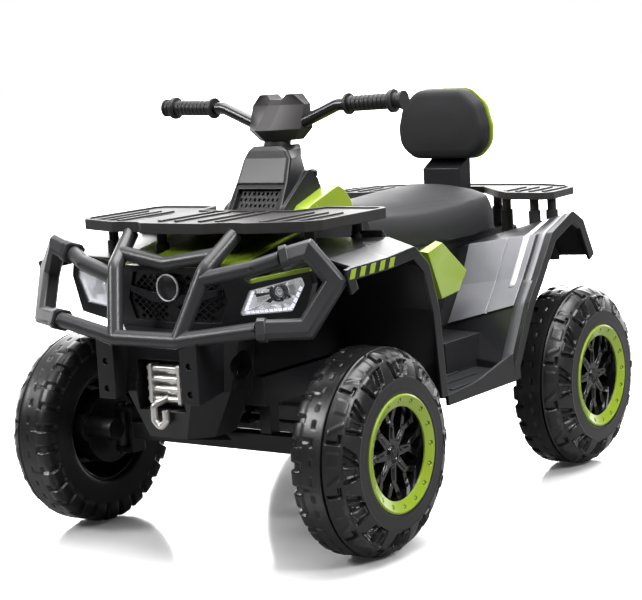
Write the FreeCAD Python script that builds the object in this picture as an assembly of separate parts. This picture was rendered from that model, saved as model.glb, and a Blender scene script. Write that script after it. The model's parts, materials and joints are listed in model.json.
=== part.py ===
import FreeCAD, Part
import math
import os

# Ride-on quad bike for a child, one solid for each piece, in millimetres.
# +Z is up, the front is towards -Y and the rider's left is +X.
# The origin is on the floor, at the middle of the wheelbase.

V = FreeCAD.Vector

# Stance
TYRE_R = 175.0
TYRE_W = 104.0
WHEELBASE = 720.0
TRACK = 632.0
RUN_FIT = 0.05
GAP = 0.3

# Wheels
RIM_R = 100.0
RIM_W = 88.0
RIM_WALL = 7.0
TYRE_WALL = 9.0
TREAD_R = 167.0
BEAD_FOOT = 18.0
LUG_COUNT = 24
LUG_ARC = 8.5
SPOKE_COUNT = 8
SPOKE_ROOT = 18.0
SPOKE_TIP = 11.0
SPOKE_BACK = 14.0
WEB_T = 4.0
HUB_R = 24.0
HUB_FRONT = 40.0
HUB_BACK = -9.0
RING_IN_R = 78.0
RING_FACE = 55.0
RING_DISH = 8.0
RING_EDGE = 2.0
RING_T = 9.0
RING_BOLTS = 16
RING_BOLT_R = 4.0
RING_BOLT_DEPTH = 4.0
CAP_R = 20.0
CAP_T = 6.0

# Axles, nuts and gearboxes
AXLE_R = 6.0
NUT_R = 11.0
NUT_T = 8.0
NUT_POCKET_R = 14.0
NUT_POCKET_DEPTH = 12.0
GEARBOX_R = 66.0
GEARBOX_T = 44.0
GEARBOX_RUN = 1.0
GEARBOX_BEVEL = 8.0
MOTOR_FLANGE = 6.0
MOTOR_R = 20.0
MOTOR_L = 62.0
MOTOR_OFF = 56.0
MOTOR_RISE = 10.0
AXLE_TUBE_R = 16.0

# Front axle and steering
KING_X = 235.0
KING_R = 6.0
SLEEVE_R = 14.0
YOKE_R = 16.0
YOKE_HALF = 33.0
YOKE_T = 8.0
YOKE_SET = 12.0
BEAM_SIDE = 30.0
BEAM_WALL = 3.0
BEAM_POST_X = 100.0
BEAM_POST_SIDE = 24.0
PIN_HEAD_R = 10.0
PIN_HEAD_T = 6.0
ARM_LEN = 66.0
ARM_W = 18.0
ARM_T = 10.0
ARM_TOP = 16.0
BALL_R = 5.0
BALL_SLACK = 4.6
BALL_OVER = 4.0
EYE_WALL = 4.4
TIE_T = 8.0
TIE_ROD_R = 4.0
TIE_PLATE = 44.0
TIE_SLOT_LEN = 27.0
TIE_SLOT_PLAY = 2.2
STEER_RATIO = 0.75
COLUMN_TILT = 22.0
COLUMN_R = 10.0
COLUMN_DROP = 18.0
COLUMN_HOLE_R = 18.0
LEVER_T = 10.0
LEVER_ROOT_R = 16.0
LEVER_TIP_R = 11.0
BUSH_R = 17.0
BUSH_REACH = 60.0
COLUMN_TAIL = 36.0
COLUMN_OVER = 26.0

# Central body, heights counted from the axle and lengths from the nearer wheel
BODY_WALL = 4.0
TUB_HALF = 140.0
BELLY_RISE = -10.0
FRONT_DECK_RISE = 75.0
REAR_DECK_RISE = 57.0
DECK_RISE = 125.0
NOSE_BACK = -60.0
TUB_FRONT_TOP = 80.0
TUB_FRONT_LOW = 110.0
TUB_REAR_LOW = -70.0
TUB_REAR_TOP = -50.0
TAIL_BACK = 120.0
HANGER_T = 30.0
HANGER_HALF = 32.0
SPINE_HALF = 120.0
SEAT_RISE = 280.0
SEAT_STEP_FRONT = 300.0
SEAT_STEP_BACK = 325.0
HOOD_FRONT = -100.0
HOOD_BACK = 100.0
HOOD_FRONT_RISE = 320.0
HOOD_BACK_RISE = 360.0
HOOD_T = 4.0
HOOD_HALF = 135.0
HOOD_BULGE = 8.0
HOOD_BULGE_FOOT = 70.0
HOOD_BULGE_TOP = 50.0
TANK_RISE = 365.0
TANK_STEP = 8.0
TANK_HUMP = [(272, 0), (272, 50), (296, 40), (312, 0)]
TANK_HUMP_HALF = 58.0
TAIL_PANEL_T = 10.0
TAIL_PANEL_HALF = 150.0
TAIL_NARROW = 0.8
LOUVRES = 3
LOUVRE_RISE = 40.0
LOUVRE_PITCH = 26.0
LOUVRE_H = 8.0
LOUVRE_HALF = 72.0

# Batteries and control box
BATTERY_L = 151.0
BATTERY_W = 65.0
BATTERY_H = 94.0
BATTERY_Y = -40.0
STUD_R = 4.0
STUD_H = 5.0
STUD_SHARES = (0.2, 0.8)
CONTROL_SIZE = (110.0, 80.0, 40.0)

# Fenders: side-view edges from the wheel's centre, (back, up)
FENDER_X = 335.0
FENDER_T = 5.0
FENDER_LIP = 20.0
FENDER_LIP_T = 6.0
FENDER_LIP_SINK = 1.5
FENDER_BEND = 12.0
FLOOR_RISE = 56.0
FRONT_FENDER_OUT = [(-70, 272), (-86, 314), (39, 318), (122, 326), (164, 291), (190, 210), (205, 56)]
FRONT_FENDER_IN = [(-54, 270), (-58, 312), (40, 326), (125, 338), (172, 300), (200, 212), (207, 56)]
FENDER_RIDGE_X = 285.0
FENDER_RIDGE_RISE = 13.0
HUMP_IN_X = 205.0
HUMP_OUT_X = 268.0
HUMP_RISE = 11.0
HUMP_FRONT = 126.0
REAR_FENDER_OUT = [
    (-278, 39), (-280, 65), (-215, 175), (-177, 217), (-115, 293), (-30, 325), (12, 303), (52, 232),
]
REAR_FENDER_IN = [
    (-226, 39), (-217, 75), (-202, 116), (-147, 187), (-110, 262), (-25, 266), (20, 258), (55, 227),
]
SIDE_PANEL_IN_X = 150.0
SIDE_PANEL_OUT_X = 300.0
SIDE_PANEL_T = 3.0
PANEL_GROOVE_X = 236.0
PANEL_GROOVE_W = 5.0
ACCENT_X = 195.0
ACCENT_BEVEL = 14.0
ACCENT_SHRINK = 0.94
ACCENT_OUT = [(-340, 282), (-285, 295), (-197, 229), (-230, 192), (-295, 185)]
ACCENT_IN = [(-340, 258), (-285, 264), (-205, 220), (-235, 200), (-295, 195)]

# Footboards
FOOT_T = 6.0
FOOT_FRONT = 205.0
SKIRT_LOW = 38.0
SKIRT_REAR = -287.0
SKIRT_REAR_RISE = 90.0
SKIRT_KNEE = 303.0
SKIRT_RAKE = 12.0
TREAD_RIBS = 5
TREAD_RIB_W = 8.0
TREAD_RIB_H = 3.0
TREAD_RIB_L = 150.0
TREAD_RIB_START = 40.0
STEP_HALF = 100.0
STEP_RISE = 115.0
STEP_FRONT = -360.0
STEP_BACK = -140.0
STEP_ROUND = 8.0

# Nose: fascia in front view (across, up from the axle) and the V of its plan
FASCIA_FRONT = -122.0
FASCIA_SIDE = -74.0
FASCIA_SIDE_X = 262.0
FASCIA_OUTLINE = [
    (0, 210), (128, 210), (240, 226), (262, 288), (258, 308), (150, 288), (112, 314), (0, 314),
]
GRILLE_OUTLINE = [(0, 222), (92, 222), (108, 258), (92, 304), (0, 304)]
GRILLE_DEPTH = 34.0
GRILLE_T = 3.0
GRILLE_SINK = 5.0
GRILLE_PITCH = 17.0
GRILLE_BAR = 3.4
GRILLE_SQUASH = 0.72
GRILLE_WAIST = 0.78
GRILLE_SWELL = 0.2
LENS_OUTLINE = [(126, 234), (147, 276), (243, 299), (247, 286), (223, 243)]
LENS_T = 3.0
LENS_ROUND = 4.0
BOWL_DEPTH = 26.0
BOWL_WALL = 2.0
BOWL_MOUTH = 0.93
BOWL_FLOOR = 0.6
BROW_T = 7.0
BROW_DEPTH = 26.0
NOSE_SECTIONS = [(30, 74, -150, 34), (110, 116, -166, 46), (210, 128, -150, 50)]
NOSE_RECESS_R = 26.0
NOSE_RECESS_DEPTH = 22.0
NOSE_RECESS_BACK = -91.0
NOSE_RECESS_RISE = 150.0
WINCH_BAY_HALF = 50.0
WINCH_BAY_DEPTH = 40.0
WINCH_BAY_LOW = 78.0
WINCH_BAY_TOP = 164.0
SKID_BACK = -30.0
SKID_BACK_RISE = 4.0
SKID_KNEE_RISE = 10.0

# Bumper: places as (across, back from the front wheel, up from the axle)
TUBE_R = 13.5
TUBE_BEND = 30.0
GUARD_R = 17.0
GUARD_BEND = 16.0
LOW_BAR = [(68, -189, 204), (212, -162, 224)]
HOOP = [(68, -189, 204), (97, -145, 315), (113, -80, 366)]
CROSS_BAR = [(104, -118, 338), (0, -127, 322)]
CROSS_BAR_R = 12.0
UPPER_TUBE = [(93, -151, 300), (185, -125, 319), (225, -106, 332)]
GUARD = [(225, -106, 332), (272, -95, 345), (311, -80, 293), (284, -128, 224), (212, -162, 224)]
BRACKET_X = 90.0
BRACKET_W = 36.0
BRACKET_FRONT = -194.0
BRACKET_LOW = 100.0
BRACKET_BACK = -80.0
BRACKET_TOE = 20.0
BRACKET_BACK_TOP = 180.0
BRACKET_SCREWS = (117, 164)
BRACKET_SCREW_R = 6.0
BRACKET_SCREW_DEPTH = 8.0

# Winch
WINCH_HALF = 34.0
WINCH_PLATE_T = 7.0
WINCH_LOW = 86.0
WINCH_TOP = 156.0
WINCH_FRONT = -152.0
WINCH_DEPTH = 24.0
WINCH_ROUND = 5.0
WINCH_BACK_INSET = 4.0
ROLLER_COUNT = 4
ROLLER_R = 5.5
ROLLER_REACH = 5.0
ROLLER_SET = 3.0
HOOK_WIRE_R = 6.0
HOOK_BEND = 7.0
HOOK = [(0, 0, 2), (-12, -24, -6), (-13, -24, -32), (0, -24, -44), (13, -24, -32), (12, -24, -14)]

# Racks
RACK_T = 18.0
FRONT_RACK_RISE = 369.0
FRONT_RACK = [
    (0, -108), (68, -106), (88, -90), (124, -86), (144, -92), (238, -58), (258, -32),
    (258, 158), (240, 174), (122, 174), (100, 104), (0, 104),
]
RACK_ROUND = 8.0
RACK_RIDGE_W = 8.0
FRONT_RIDGES = (26, 62, 155, 185, 215)
FRONT_RIDGE_RUN = (-62, 86)
REAR_RIDGES = (145, 175, 205, 235)
REAR_RIDGE_RUN = (40, 128)
RACK_SLOT_W = 9.0
RACK_SLOT_L = 70.0
RACK_SLOTS = 4
RACK_SLOT_PITCH = 30.0
FRONT_SLOT_X = 140.0
FRONT_SLOT_Y = 30.0
RACK_RIM_H = 6.0
RACK_RIM_W = 9.0
REAR_RACK_T = 14.0
REAR_RACK_RISE = 343.0
REAR_RACK = [
    (0, 128), (48, 128), (138, 30), (172, 2), (258, -6), (272, 12), (264, 112), (228, 162), (150, 196),
]
REAR_SLOT_X = 130.0
REAR_SLOT_Y = 120.0
POST_R = 9.0
FRONT_POSTS = [(78, -40), (78, 60), (215, -10), (215, 130)]
REAR_POSTS = [(92, 106), (146, 48), (222, 24), (250, 44)]
POST_FOOT_R = 12.0
POST_NECK = 24.0
POST_ROOT = 60.0

# Tower, pod and handlebar
TOWER_SECTIONS = [
    (365, 62, 106, 66, 250), (432, 56, 148, 58, 216), (472, 54, 167, 38, 226), (486, 44, 170, 36, 231),
    (494, 32, 172, 32, 234),
]
TOWER_ROUND = 7.0
TOWER_CAVITY_R = 24.0
TOWER_BUSH_L = 30.0
CHEEK = [(108, 365), (126, 390), (208, 447), (216, 449), (236, 431), (242, 414), (160, 389), (130, 365)]
CHEEK_IN_X = 30.0
CHEEK_STEP = 7.0
VENT_HALF = 48.0
VENT_LOW = 376.0
VENT_TOP = 420.0
VENT_DEPTH = 16.0
VENT_T = 3.0
VENT_HOLE_R = 3.0
VISOR_DEPTH = 4.0
VISOR_MARGIN = 10.0
VENT_PITCH = 10.0
TANK_PANEL = [(130, 365), (160, 389), (240, 414), (254, 417), (270, 409), (290, 389), (302, 365)]
TANK_PANEL_BEVEL = 5.0
TANK_PANEL_SHRINK = 0.95
TANK_PANEL_IN_X = 58.0
TANK_PANEL_OUT_X = 96.0
BUTTON_X = 56.0
BUTTON_SHARE = 0.65
BUTTON_R = 9.0
BUTTON_H = 12.0
BUTTON_TRAVEL = 3.0
POD_SECTIONS = [
    (0, [(10, -26), (38, -2), (40, 24), (24, 34)]),
    (20, [(15, -47), (57, -8), (60, 26), (40, 42)]),
    (63, [(14, -4), (58, 8), (56, 28), (36, 42)]),
    (82, [(13, 4), (37, 3), (44, 24), (28, 38)]),
]
POD_NOTCH = [(0, 73), (13, 73), (27, 88), (0, 88)]
POD_RISE = 502.0
POD_OVERLAP = 12.0
NECK_R = 24.0
NECK_GAP = 1.0
NECK_SINK = 12.0
BAR_R = 11.0
BAR_BEND = 34.0
BAR_PATH = [(46, 214, 530), (126, 219, 562), (262, 220, 566)]
GRIP_R = 14.0
GRIP_L = 114.0
GRIP_RIBS = 12
GRIP_GROOVE = 1.2
GRIP_FLANGE_R = 19.0
GRIP_FLANGE_T = 5.0
GRIP_END = 4.0
GRIP_GROOVE_SHARE = 0.3

# Seat: (back from the front wheel, half-width, underside rise, shoulder rise, crown)
SEAT_SECTIONS = [
    (312, 84, 268, 352, 22),
    (420, 116, 268, 344, 24),
    (530, 140, 268, 343, 26),
    (660, 142, 268, 350, 24),
    (760, 122, 268, 352, 18),
    (818, 66, 268, 345, 8),
]
SEAT_TUCK = 6.0
SEAT_SHOULDER = 16.0

# Backrest, lengths from the rear wheel
POST_HALF = 43.0
POST_SIDE = [(40, 280), (40, 402), (74, 420), (74, 470), (88, 470), (80, 280)]
POST_SLOT_PLAY = 1.0
BACKREST_FACE = [(74, 0), (104, 30), (107, 68), (94, 116), (58, 149)]
BACKREST_ROUND = 42.0
BACKREST_RISE = 418.0
BACKREST_FRONT = 36.0
PAD_T = 38.0
PAD_CROWN = 12.0
PAD_EDGE = 4.0
PAD_FACE_INSET = 18.0
PAD_WIDEST = 0.6
SHELL_T = 18.0
SHELL_TONGUE_HALF = 34.0
SHELL_TONGUE_RISE = 372.0
SHELL_TONGUE_T = 10.0
SHELL_TONGUE_LAP = 40.0
SHELL_INSET = 2.0
SHELL_BEVEL = 10.0

# Accelerator pedal on the right footboard
PEDAL_X = 250.0
PEDAL_BACK = 302.0
PEDAL_W = 56.0
PEDAL_L = 92.0
PEDAL_T = 7.0
PEDAL_ANGLE = 28.0
PEDAL_PIN_R = 3.0
PEDAL_EAR_T = 6.0
PEDAL_PIN_RISE = 9.0
PEDAL_RIDGES = 4
PEDAL_RIDGE_START = 24.0
PEDAL_RIDGE_PITCH = 17.0
PEDAL_RIDGE_W = 7.0
PEDAL_RIDGE_H = 2.0
PEDAL_RIDGE_INSET = 6.0
PEDAL_EAR_R = 7.0

# Places worked out from the sizes above
AXLE_Z = TYRE_R
FRONT_Y = -WHEELBASE / 2
REAR_Y = WHEELBASE / 2
WHEEL_X = TRACK / 2
GEARBOX_X = WHEEL_X + HUB_BACK - GEARBOX_RUN - GEARBOX_T
AXLE_END = WHEEL_X + HUB_FRONT - 2 * RUN_FIT - 2.0
NUT_X = WHEEL_X + HUB_FRONT - NUT_POCKET_DEPTH + GAP
LEVER_LEN = ARM_LEN * STEER_RATIO
TILT = math.radians(COLUMN_TILT)
COLUMN_DIR = V(0, math.sin(TILT), math.cos(TILT))
LEVER_DIR = V(0, math.cos(TILT), -math.sin(TILT))
TIE_Z = AXLE_Z + ARM_TOP + GAP + TIE_T / 2
TIE_Y = FRONT_Y + ARM_LEN
LEVER_TIP = V(0, TIE_Y, TIE_Z) + COLUMN_DIR * COLUMN_DROP
COLUMN_FOOT = LEVER_TIP - LEVER_DIR * LEVER_LEN
BELLY_Z = AXLE_Z + BELLY_RISE
DECK_Z = AXLE_Z + DECK_RISE
SEAT_Z = AXLE_Z + SEAT_RISE
TANK_Z = AXLE_Z + TANK_RISE
FLOOR_Z = AXLE_Z + FLOOR_RISE
FRONT_REACH = -(FRONT_Y + LOW_BAR[0][1]) + TUBE_R


def from_wheel(points, wheel_y):
    """Side-view points (back, up) counted from a wheel's centre, as (y, z)."""
    return [(wheel_y + back, AXLE_Z + up) for back, up in points]


def place(point):
    """A bumper or handlebar place (across, back, up) as a vector."""
    across, back, up = point
    return V(across, FRONT_Y + back, AXLE_Z + up)


def in_yz(points, x):
    """Side-view points set in the plane at x."""
    return [V(x, y, z) for y, z in points]


def in_xz(points, y):
    """Front-view points set in the plane at y."""
    return [V(x, y, z) for x, z in points]


def in_xy(points, z):
    """Plan-view points set in the plane at z."""
    return [V(x, y, z) for x, y in points]


def both_halves(points):
    """A half outline on the +X side, closed by its mirror image."""
    left = [(-x, other) for x, other in reversed(points) if x > 0]
    return list(points) + left


def corner_arc(before, corner, after, radius):
    """Start, middle and end of the arc that rounds one corner."""
    back = (before - corner).normalize()
    ahead = (after - corner).normalize()
    half = back.getAngle(ahead) / 2
    reach = radius / math.tan(half)
    inward = (back + ahead).normalize()
    middle = corner + inward * (radius / math.sin(half) - radius)
    return corner + back * reach, middle, corner + ahead * reach


def line_edges(corners, radii, closed):
    """Straight runs through the corners, with an arc at each corner that has a radius."""
    edges = []
    count = len(corners)
    last = None
    first = None
    for index in range(count):
        corner = corners[index]
        inner = closed or 0 < index < count - 1
        if inner and radii[index] > 0:
            before = corners[index - 1]
            after = corners[(index + 1) % count]
            start, middle, end = corner_arc(before, corner, after, radii[index])
        else:
            start, middle, end = corner, None, corner
        if last is not None and last.distanceToPoint(start) > 1e-6:
            edges.append(Part.LineSegment(last, start).toShape())
        if middle is not None:
            edges.append(Part.Arc(start, middle, end).toShape())
        if first is None:
            first = start
        last = end
    if closed and last.distanceToPoint(first) > 1e-6:
        edges.append(Part.LineSegment(last, first).toShape())
    return edges


def outline(corners, radius=0.0):
    """Closed wire through the corners, rounded by one radius or by a list of radii."""
    radii = radius if isinstance(radius, list) else [radius] * len(corners)
    return Part.Wire(line_edges(corners, radii, True))


def plate(corners, push, radius=0.0):
    """Flat outline pushed along a vector."""
    return Part.Face(outline(corners, radius)).extrude(push)


def box(low, high):
    """Box between two corners."""
    size = high - low
    return Part.makeBox(size.x, size.y, size.z, low)


def rod(start, end, radius):
    """Round bar between two points."""
    along = end - start
    return Part.makeCylinder(radius, along.Length, start, along)


def tube(points, radius, bend):
    """Round bar along straight runs joined by tangent arcs."""
    path = Part.Wire(line_edges(points, [bend] * len(points), False))
    ring = Part.Wire([Part.makeCircle(radius, points[0], points[1] - points[0])])
    pipe = Part.BRepOffsetAPI.MakePipeShell(path)
    pipe.add(ring)
    pipe.build()
    pipe.makeSolid()
    return pipe.shape()


def ruled(wires):
    """Straight-sided loft through closed wires."""
    return Part.makeLoft(wires, True, True)


def offset_path(points, gap):
    """Open path moved sideways by gap, to the right of its direction."""
    normals = []
    for (y0, z0), (y1, z1) in zip(points, points[1:]):
        length = math.hypot(y1 - y0, z1 - z0)
        normals.append(((z1 - z0) / length, -(y1 - y0) / length))
    moved = []
    for index, (y, z) in enumerate(points):
        before = normals[max(index - 1, 0)]
        after = normals[min(index, len(normals) - 1)]
        shared = 1 + before[0] * after[0] + before[1] * after[1]
        shift_y = (before[0] + after[0]) / shared
        shift_z = (before[1] + after[1]) / shared
        moved.append((y + gap * shift_y, z + gap * shift_z))
    return moved


def strip_wire(points, thick, x, bend, rise=0.0):
    """Closed section of a bent sheet in the plane at x, rise above the path to thick below it."""
    upper = offset_path(points, -rise) if rise else list(points)
    lower = offset_path(points, thick)
    ends = [0.0] + [bend] * (len(points) - 2) + [0.0]
    return outline(in_yz(upper + lower[::-1], x), ends + ends)


def between(first, second, share):
    """Path that lies a share of the way from the first path to the second."""
    return [(a + (c - a) * share, b + (d - b) * share) for (a, b), (c, d) in zip(first, second)]


def drawn_in(points, share):
    """Outline shrunk about its middle."""
    middle_a = sum(a for a, b in points) / len(points)
    middle_b = sum(b for a, b in points) / len(points)
    return [(middle_a + (a - middle_a) * share, middle_b + (b - middle_b) * share) for a, b in points]


def fused(shapes):
    """One solid from shapes that meet."""
    return shapes[0].multiFuse(shapes[1:]).removeSplitter()


def biggest(shape):
    """The largest solid of a shape."""
    return max(shape.Solids, key=lambda solid: solid.Volume)


def trimmed(shape, others):
    """The main solid left when its neighbours are cut away."""
    return biggest(shape.cut(others))


def mirrored(shape):
    """The same shape on the other side of the bike."""
    return shape.mirror(V(0, 0, 0), V(1, 0, 0))


def pair(shape):
    """A left piece and its mirror image."""
    return [shape, mirrored(shape)]


def turned(corners_xr, angle, start):
    """Part of a ring: a section (along x, radius) turned about the wheel's axle."""
    face = Part.Face(outline([V(x, 0, r) for x, r in corners_xr]))
    face = face.rotated(V(0, 0, 0), V(1, 0, 0), start)
    return face.revolve(V(0, 0, 0), V(1, 0, 0), angle)


def save(name, solids):
    """Writes one node."""
    shape = solids[0] if len(solids) == 1 else Part.makeCompound(solids)
    shape.exportStep(os.path.join("parts", name + ".step"))


# Wheels, built about the origin with the outer face towards +X

def tyre():
    """Hollow tyre with lugs that wrap over both shoulders."""
    half = TYRE_W / 2
    side = [
        (half - 10 - BEAD_FOOT, RIM_R),
        (half - 10, RIM_R),
        (half - 2, RIM_R + 8),
        (half, RIM_R + 27),
        (half - 6, TREAD_R - 20),
        (half - 22, TREAD_R - 2),
    ]
    path = [(-x, r) for x, r in side] + side[::-1]
    inner = offset_path(path, TYRE_WALL)
    radii = [0, 0, 6, 12, 8, 6, 6, 8, 12, 6, 0, 0]
    section = outline([V(x, 0, r) for x, r in path + inner[::-1]], radii + radii)
    body = Part.Face(section).revolve(V(0, 0, 0), V(1, 0, 0), 360)
    lug = [
        (half - 40, TREAD_R - 4),
        (half - 40, TYRE_R),
        (half - 24, TYRE_R - 2),
        (half - 6, TREAD_R - 9),
        (half + 1.5, RIM_R + 34),
        (half - 5, RIM_R + 34),
        (half - 14, TREAD_R - 18),
        (half - 26, TREAD_R - 6),
    ]
    pitch = 360 / LUG_COUNT
    lugs = []
    for index in range(LUG_COUNT):
        turn = 180 + index * pitch - LUG_ARC / 2
        lugs.append(turned(lug, LUG_ARC, turn))
        lugs.append(turned([(-x, r) for x, r in lug], LUG_ARC, turn + pitch / 2))
    return body.multiFuse(lugs)


def spoke(index):
    """One tapered spoke from hub to barrel."""
    def section(radius, width, front):
        low = SPOKE_BACK
        half = width / 2
        corners = [(low, -half), (front, -half), (front, half), (low, half)]
        return outline([V(x, y, radius) for x, y in corners])

    blade = ruled([
        section(HUB_R - 4, SPOKE_ROOT, HUB_FRONT - 4),
        section(RIM_R - RIM_WALL + 2, SPOKE_TIP, HUB_FRONT - 12),
    ])
    return blade.rotated(V(0, 0, 0), V(1, 0, 0), index * 360 / SPOKE_COUNT)


def rim():
    """Barrel, web, spokes and hub with the nut pocket, and the push-on hub cap."""
    half = RIM_W / 2
    barrel = rod(V(-half, 0, 0), V(half, 0, 0), RIM_R)
    barrel = barrel.cut(rod(V(-half, 0, 0), V(half, 0, 0), RIM_R - RIM_WALL))
    web = rod(V(SPOKE_BACK - WEB_T, 0, 0), V(SPOKE_BACK, 0, 0), RIM_R - RIM_WALL + 1)
    hub = rod(V(HUB_BACK, 0, 0), V(HUB_FRONT, 0, 0), HUB_R)
    wheel = fused([barrel, web, hub] + [spoke(index) for index in range(SPOKE_COUNT)])
    bore = rod(V(HUB_BACK, 0, 0), V(HUB_FRONT, 0, 0), AXLE_R + RUN_FIT)
    pocket = rod(V(HUB_FRONT - NUT_POCKET_DEPTH, 0, 0), V(HUB_FRONT, 0, 0), NUT_POCKET_R)
    wheel = wheel.cut([bore, pocket])
    cap = Part.makeCone(CAP_R, CAP_R - 4, CAP_T, V(HUB_FRONT, 0, 0), V(1, 0, 0))
    return [biggest(wheel), cap]


def bead_ring():
    """Dished ring that clamps the tyre, with a circle of recessed bolts."""
    back = RIM_W / 2
    section = [
        (back, RING_IN_R),
        (RING_FACE - RING_DISH, RING_IN_R),
        (RING_FACE, RIM_R - 2 * RING_EDGE),
        (RING_FACE - RING_EDGE, RIM_R - RING_EDGE / 2),
        (back, RIM_R - RING_EDGE / 2),
    ]
    ring = turned(section, 360, 0)
    bolt_r = (RING_IN_R + RIM_R) / 2
    holes = []
    for index in range(RING_BOLTS):
        angle = 2 * math.pi * index / RING_BOLTS
        centre = V(RING_FACE - RING_EDGE - RING_BOLT_DEPTH, bolt_r * math.cos(angle), bolt_r * math.sin(angle))
        holes.append(rod(centre, centre + V(RING_T, 0, 0), RING_BOLT_R))
    return ring.cut(holes)


def wheel_nodes(parts):
    """The four wheels, each as tyre, rim and ring."""
    pieces = {"tyre": [tyre()], "rim": rim(), "bead_ring": [bead_ring()]}
    for side, hand in (("left", 1), ("right", -1)):
        for end, wheel_y in (("front", FRONT_Y), ("rear", REAR_Y)):
            for kind, solids in pieces.items():
                placed = [solid.translated(V(WHEEL_X, wheel_y, AXLE_Z)) for solid in solids]
                if hand < 0:
                    placed = [mirrored(solid) for solid in placed]
                parts[kind + "_" + end + "_" + side] = placed


# Axles, gearboxes and steering

def hex_nut(x, wheel_y):
    """Nut on the left end of an axle."""
    corners = []
    for index in range(6):
        angle = math.radians(60 * index)
        corners.append(V(x, wheel_y + NUT_R * math.cos(angle), AXLE_Z + NUT_R * math.sin(angle)))
    nut = plate(corners, V(NUT_T, 0, 0))
    return nut.cut(rod(V(x, wheel_y, AXLE_Z), V(x + NUT_T, wheel_y, AXLE_Z), AXLE_R))


def gearbox(wheel_y, way, inner_x):
    """Left gearbox on its axle, with the motor can ahead (-1) or behind (+1) and a tube down to inner_x."""
    centre = V(GEARBOX_X, wheel_y, AXLE_Z)
    out = V(1, 0, 0)
    straight = GEARBOX_T - GEARBOX_BEVEL
    case = Part.makeCylinder(GEARBOX_R, straight, centre, out)
    taper = Part.makeCone(GEARBOX_R, GEARBOX_R - GEARBOX_BEVEL, GEARBOX_BEVEL, centre + out * straight, out)
    motor_at = centre + V(0, way * MOTOR_OFF, MOTOR_RISE)
    flange = Part.makeCylinder(MOTOR_R + MOTOR_FLANGE, GEARBOX_T / 2, motor_at, out)
    motor = Part.makeCylinder(MOTOR_R, MOTOR_L, motor_at - out * MOTOR_L, out)
    shapes = [case, taper, flange, motor]
    if inner_x < GEARBOX_X:
        shapes.append(rod(V(inner_x, wheel_y, AXLE_Z), centre, AXLE_TUBE_R))
    start = V(min(inner_x, GEARBOX_X), wheel_y, AXLE_Z)
    return fused(shapes).cut(rod(start, centre + out * GEARBOX_T, AXLE_R))


def rear_axle():
    """Axle bar with a nut at each end."""
    bar = rod(V(-AXLE_END, REAR_Y, AXLE_Z), V(AXLE_END, REAR_Y, AXLE_Z), AXLE_R)
    return [bar] + pair(hex_nut(NUT_X, REAR_Y))


def along_column(distance):
    """Point on the steering axis, counted up from the lever."""
    return COLUMN_FOOT + COLUMN_DIR * distance


def front_axle():
    """Square-tube beam with posts, yokes and the lower steering bush, and the two kingpins."""
    half = BEAM_SIDE / 2
    yoke_x = KING_X - YOKE_R - YOKE_SET
    middle = V(0, FRONT_Y, AXLE_Z)
    beam = box(middle + V(-yoke_x, -half, -half), middle + V(yoke_x, half, half))
    hollow = half - BEAM_WALL
    core = box(middle + V(-yoke_x, -hollow, -hollow), middle + V(yoke_x, hollow, hollow))
    beam = beam.cut(core)
    shapes = [beam]
    span = YOKE_HALF + YOKE_T
    for hand in (1, -1):
        king = middle + V(hand * KING_X, 0, 0)
        inner = hand * (yoke_x - YOKE_T)
        outer = hand * yoke_x
        low_x, high_x = min(inner, outer), max(inner, outer)
        shapes.append(box(middle + V(low_x, -YOKE_R, -span), middle + V(high_x, YOKE_R, span)))
        arm_low, arm_high = min(inner, hand * KING_X), max(inner, hand * KING_X)
        for level in (YOKE_HALF, -span):
            ear = box(middle + V(arm_low, -YOKE_R, level), middle + V(arm_high, YOKE_R, level + YOKE_T))
            round_end = Part.makeCylinder(YOKE_R, YOKE_T, king + V(0, 0, level))
            hole = Part.makeCylinder(KING_R, YOKE_T, king + V(0, 0, level))
            shapes.append(ear.fuse(round_end).cut(hole))
        foot = BEAM_POST_SIDE / 2
        post_low = middle + V(hand * BEAM_POST_X - foot, -foot, half)
        post_high = middle + V(hand * BEAM_POST_X + foot, foot, FRONT_DECK_RISE)
        shapes.append(box(post_low, post_high))
    bush_top = along_column(-LEVER_T / 2 - GAP)
    bush = rod(along_column(-COLUMN_DROP - BUSH_REACH), bush_top, BUSH_R)
    room_low = middle + V(-BUSH_REACH, -BUSH_REACH, half - BEAM_WALL / 2)
    room_high = middle + V(BUSH_REACH, BUSH_REACH, 2 * BUSH_REACH)
    bush = bush.common(box(room_low, room_high))
    shapes.append(bush)
    carrier = fused(shapes).cut(rod(along_column(-COLUMN_DROP - BUSH_REACH), bush_top, COLUMN_R + RUN_FIT))
    pins = []
    for hand in (1, -1):
        king = middle + V(hand * KING_X, 0, 0)
        shank = rod(king + V(0, 0, -span), king + V(0, 0, span), KING_R)
        head = Part.makeCylinder(PIN_HEAD_R, PIN_HEAD_T, king + V(0, 0, span))
        nut = Part.makeCylinder(PIN_HEAD_R, PIN_HEAD_T, king + V(0, 0, -span - PIN_HEAD_T))
        pins.append(fused([shank, head, nut]))
    return [biggest(carrier)] + pins


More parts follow.
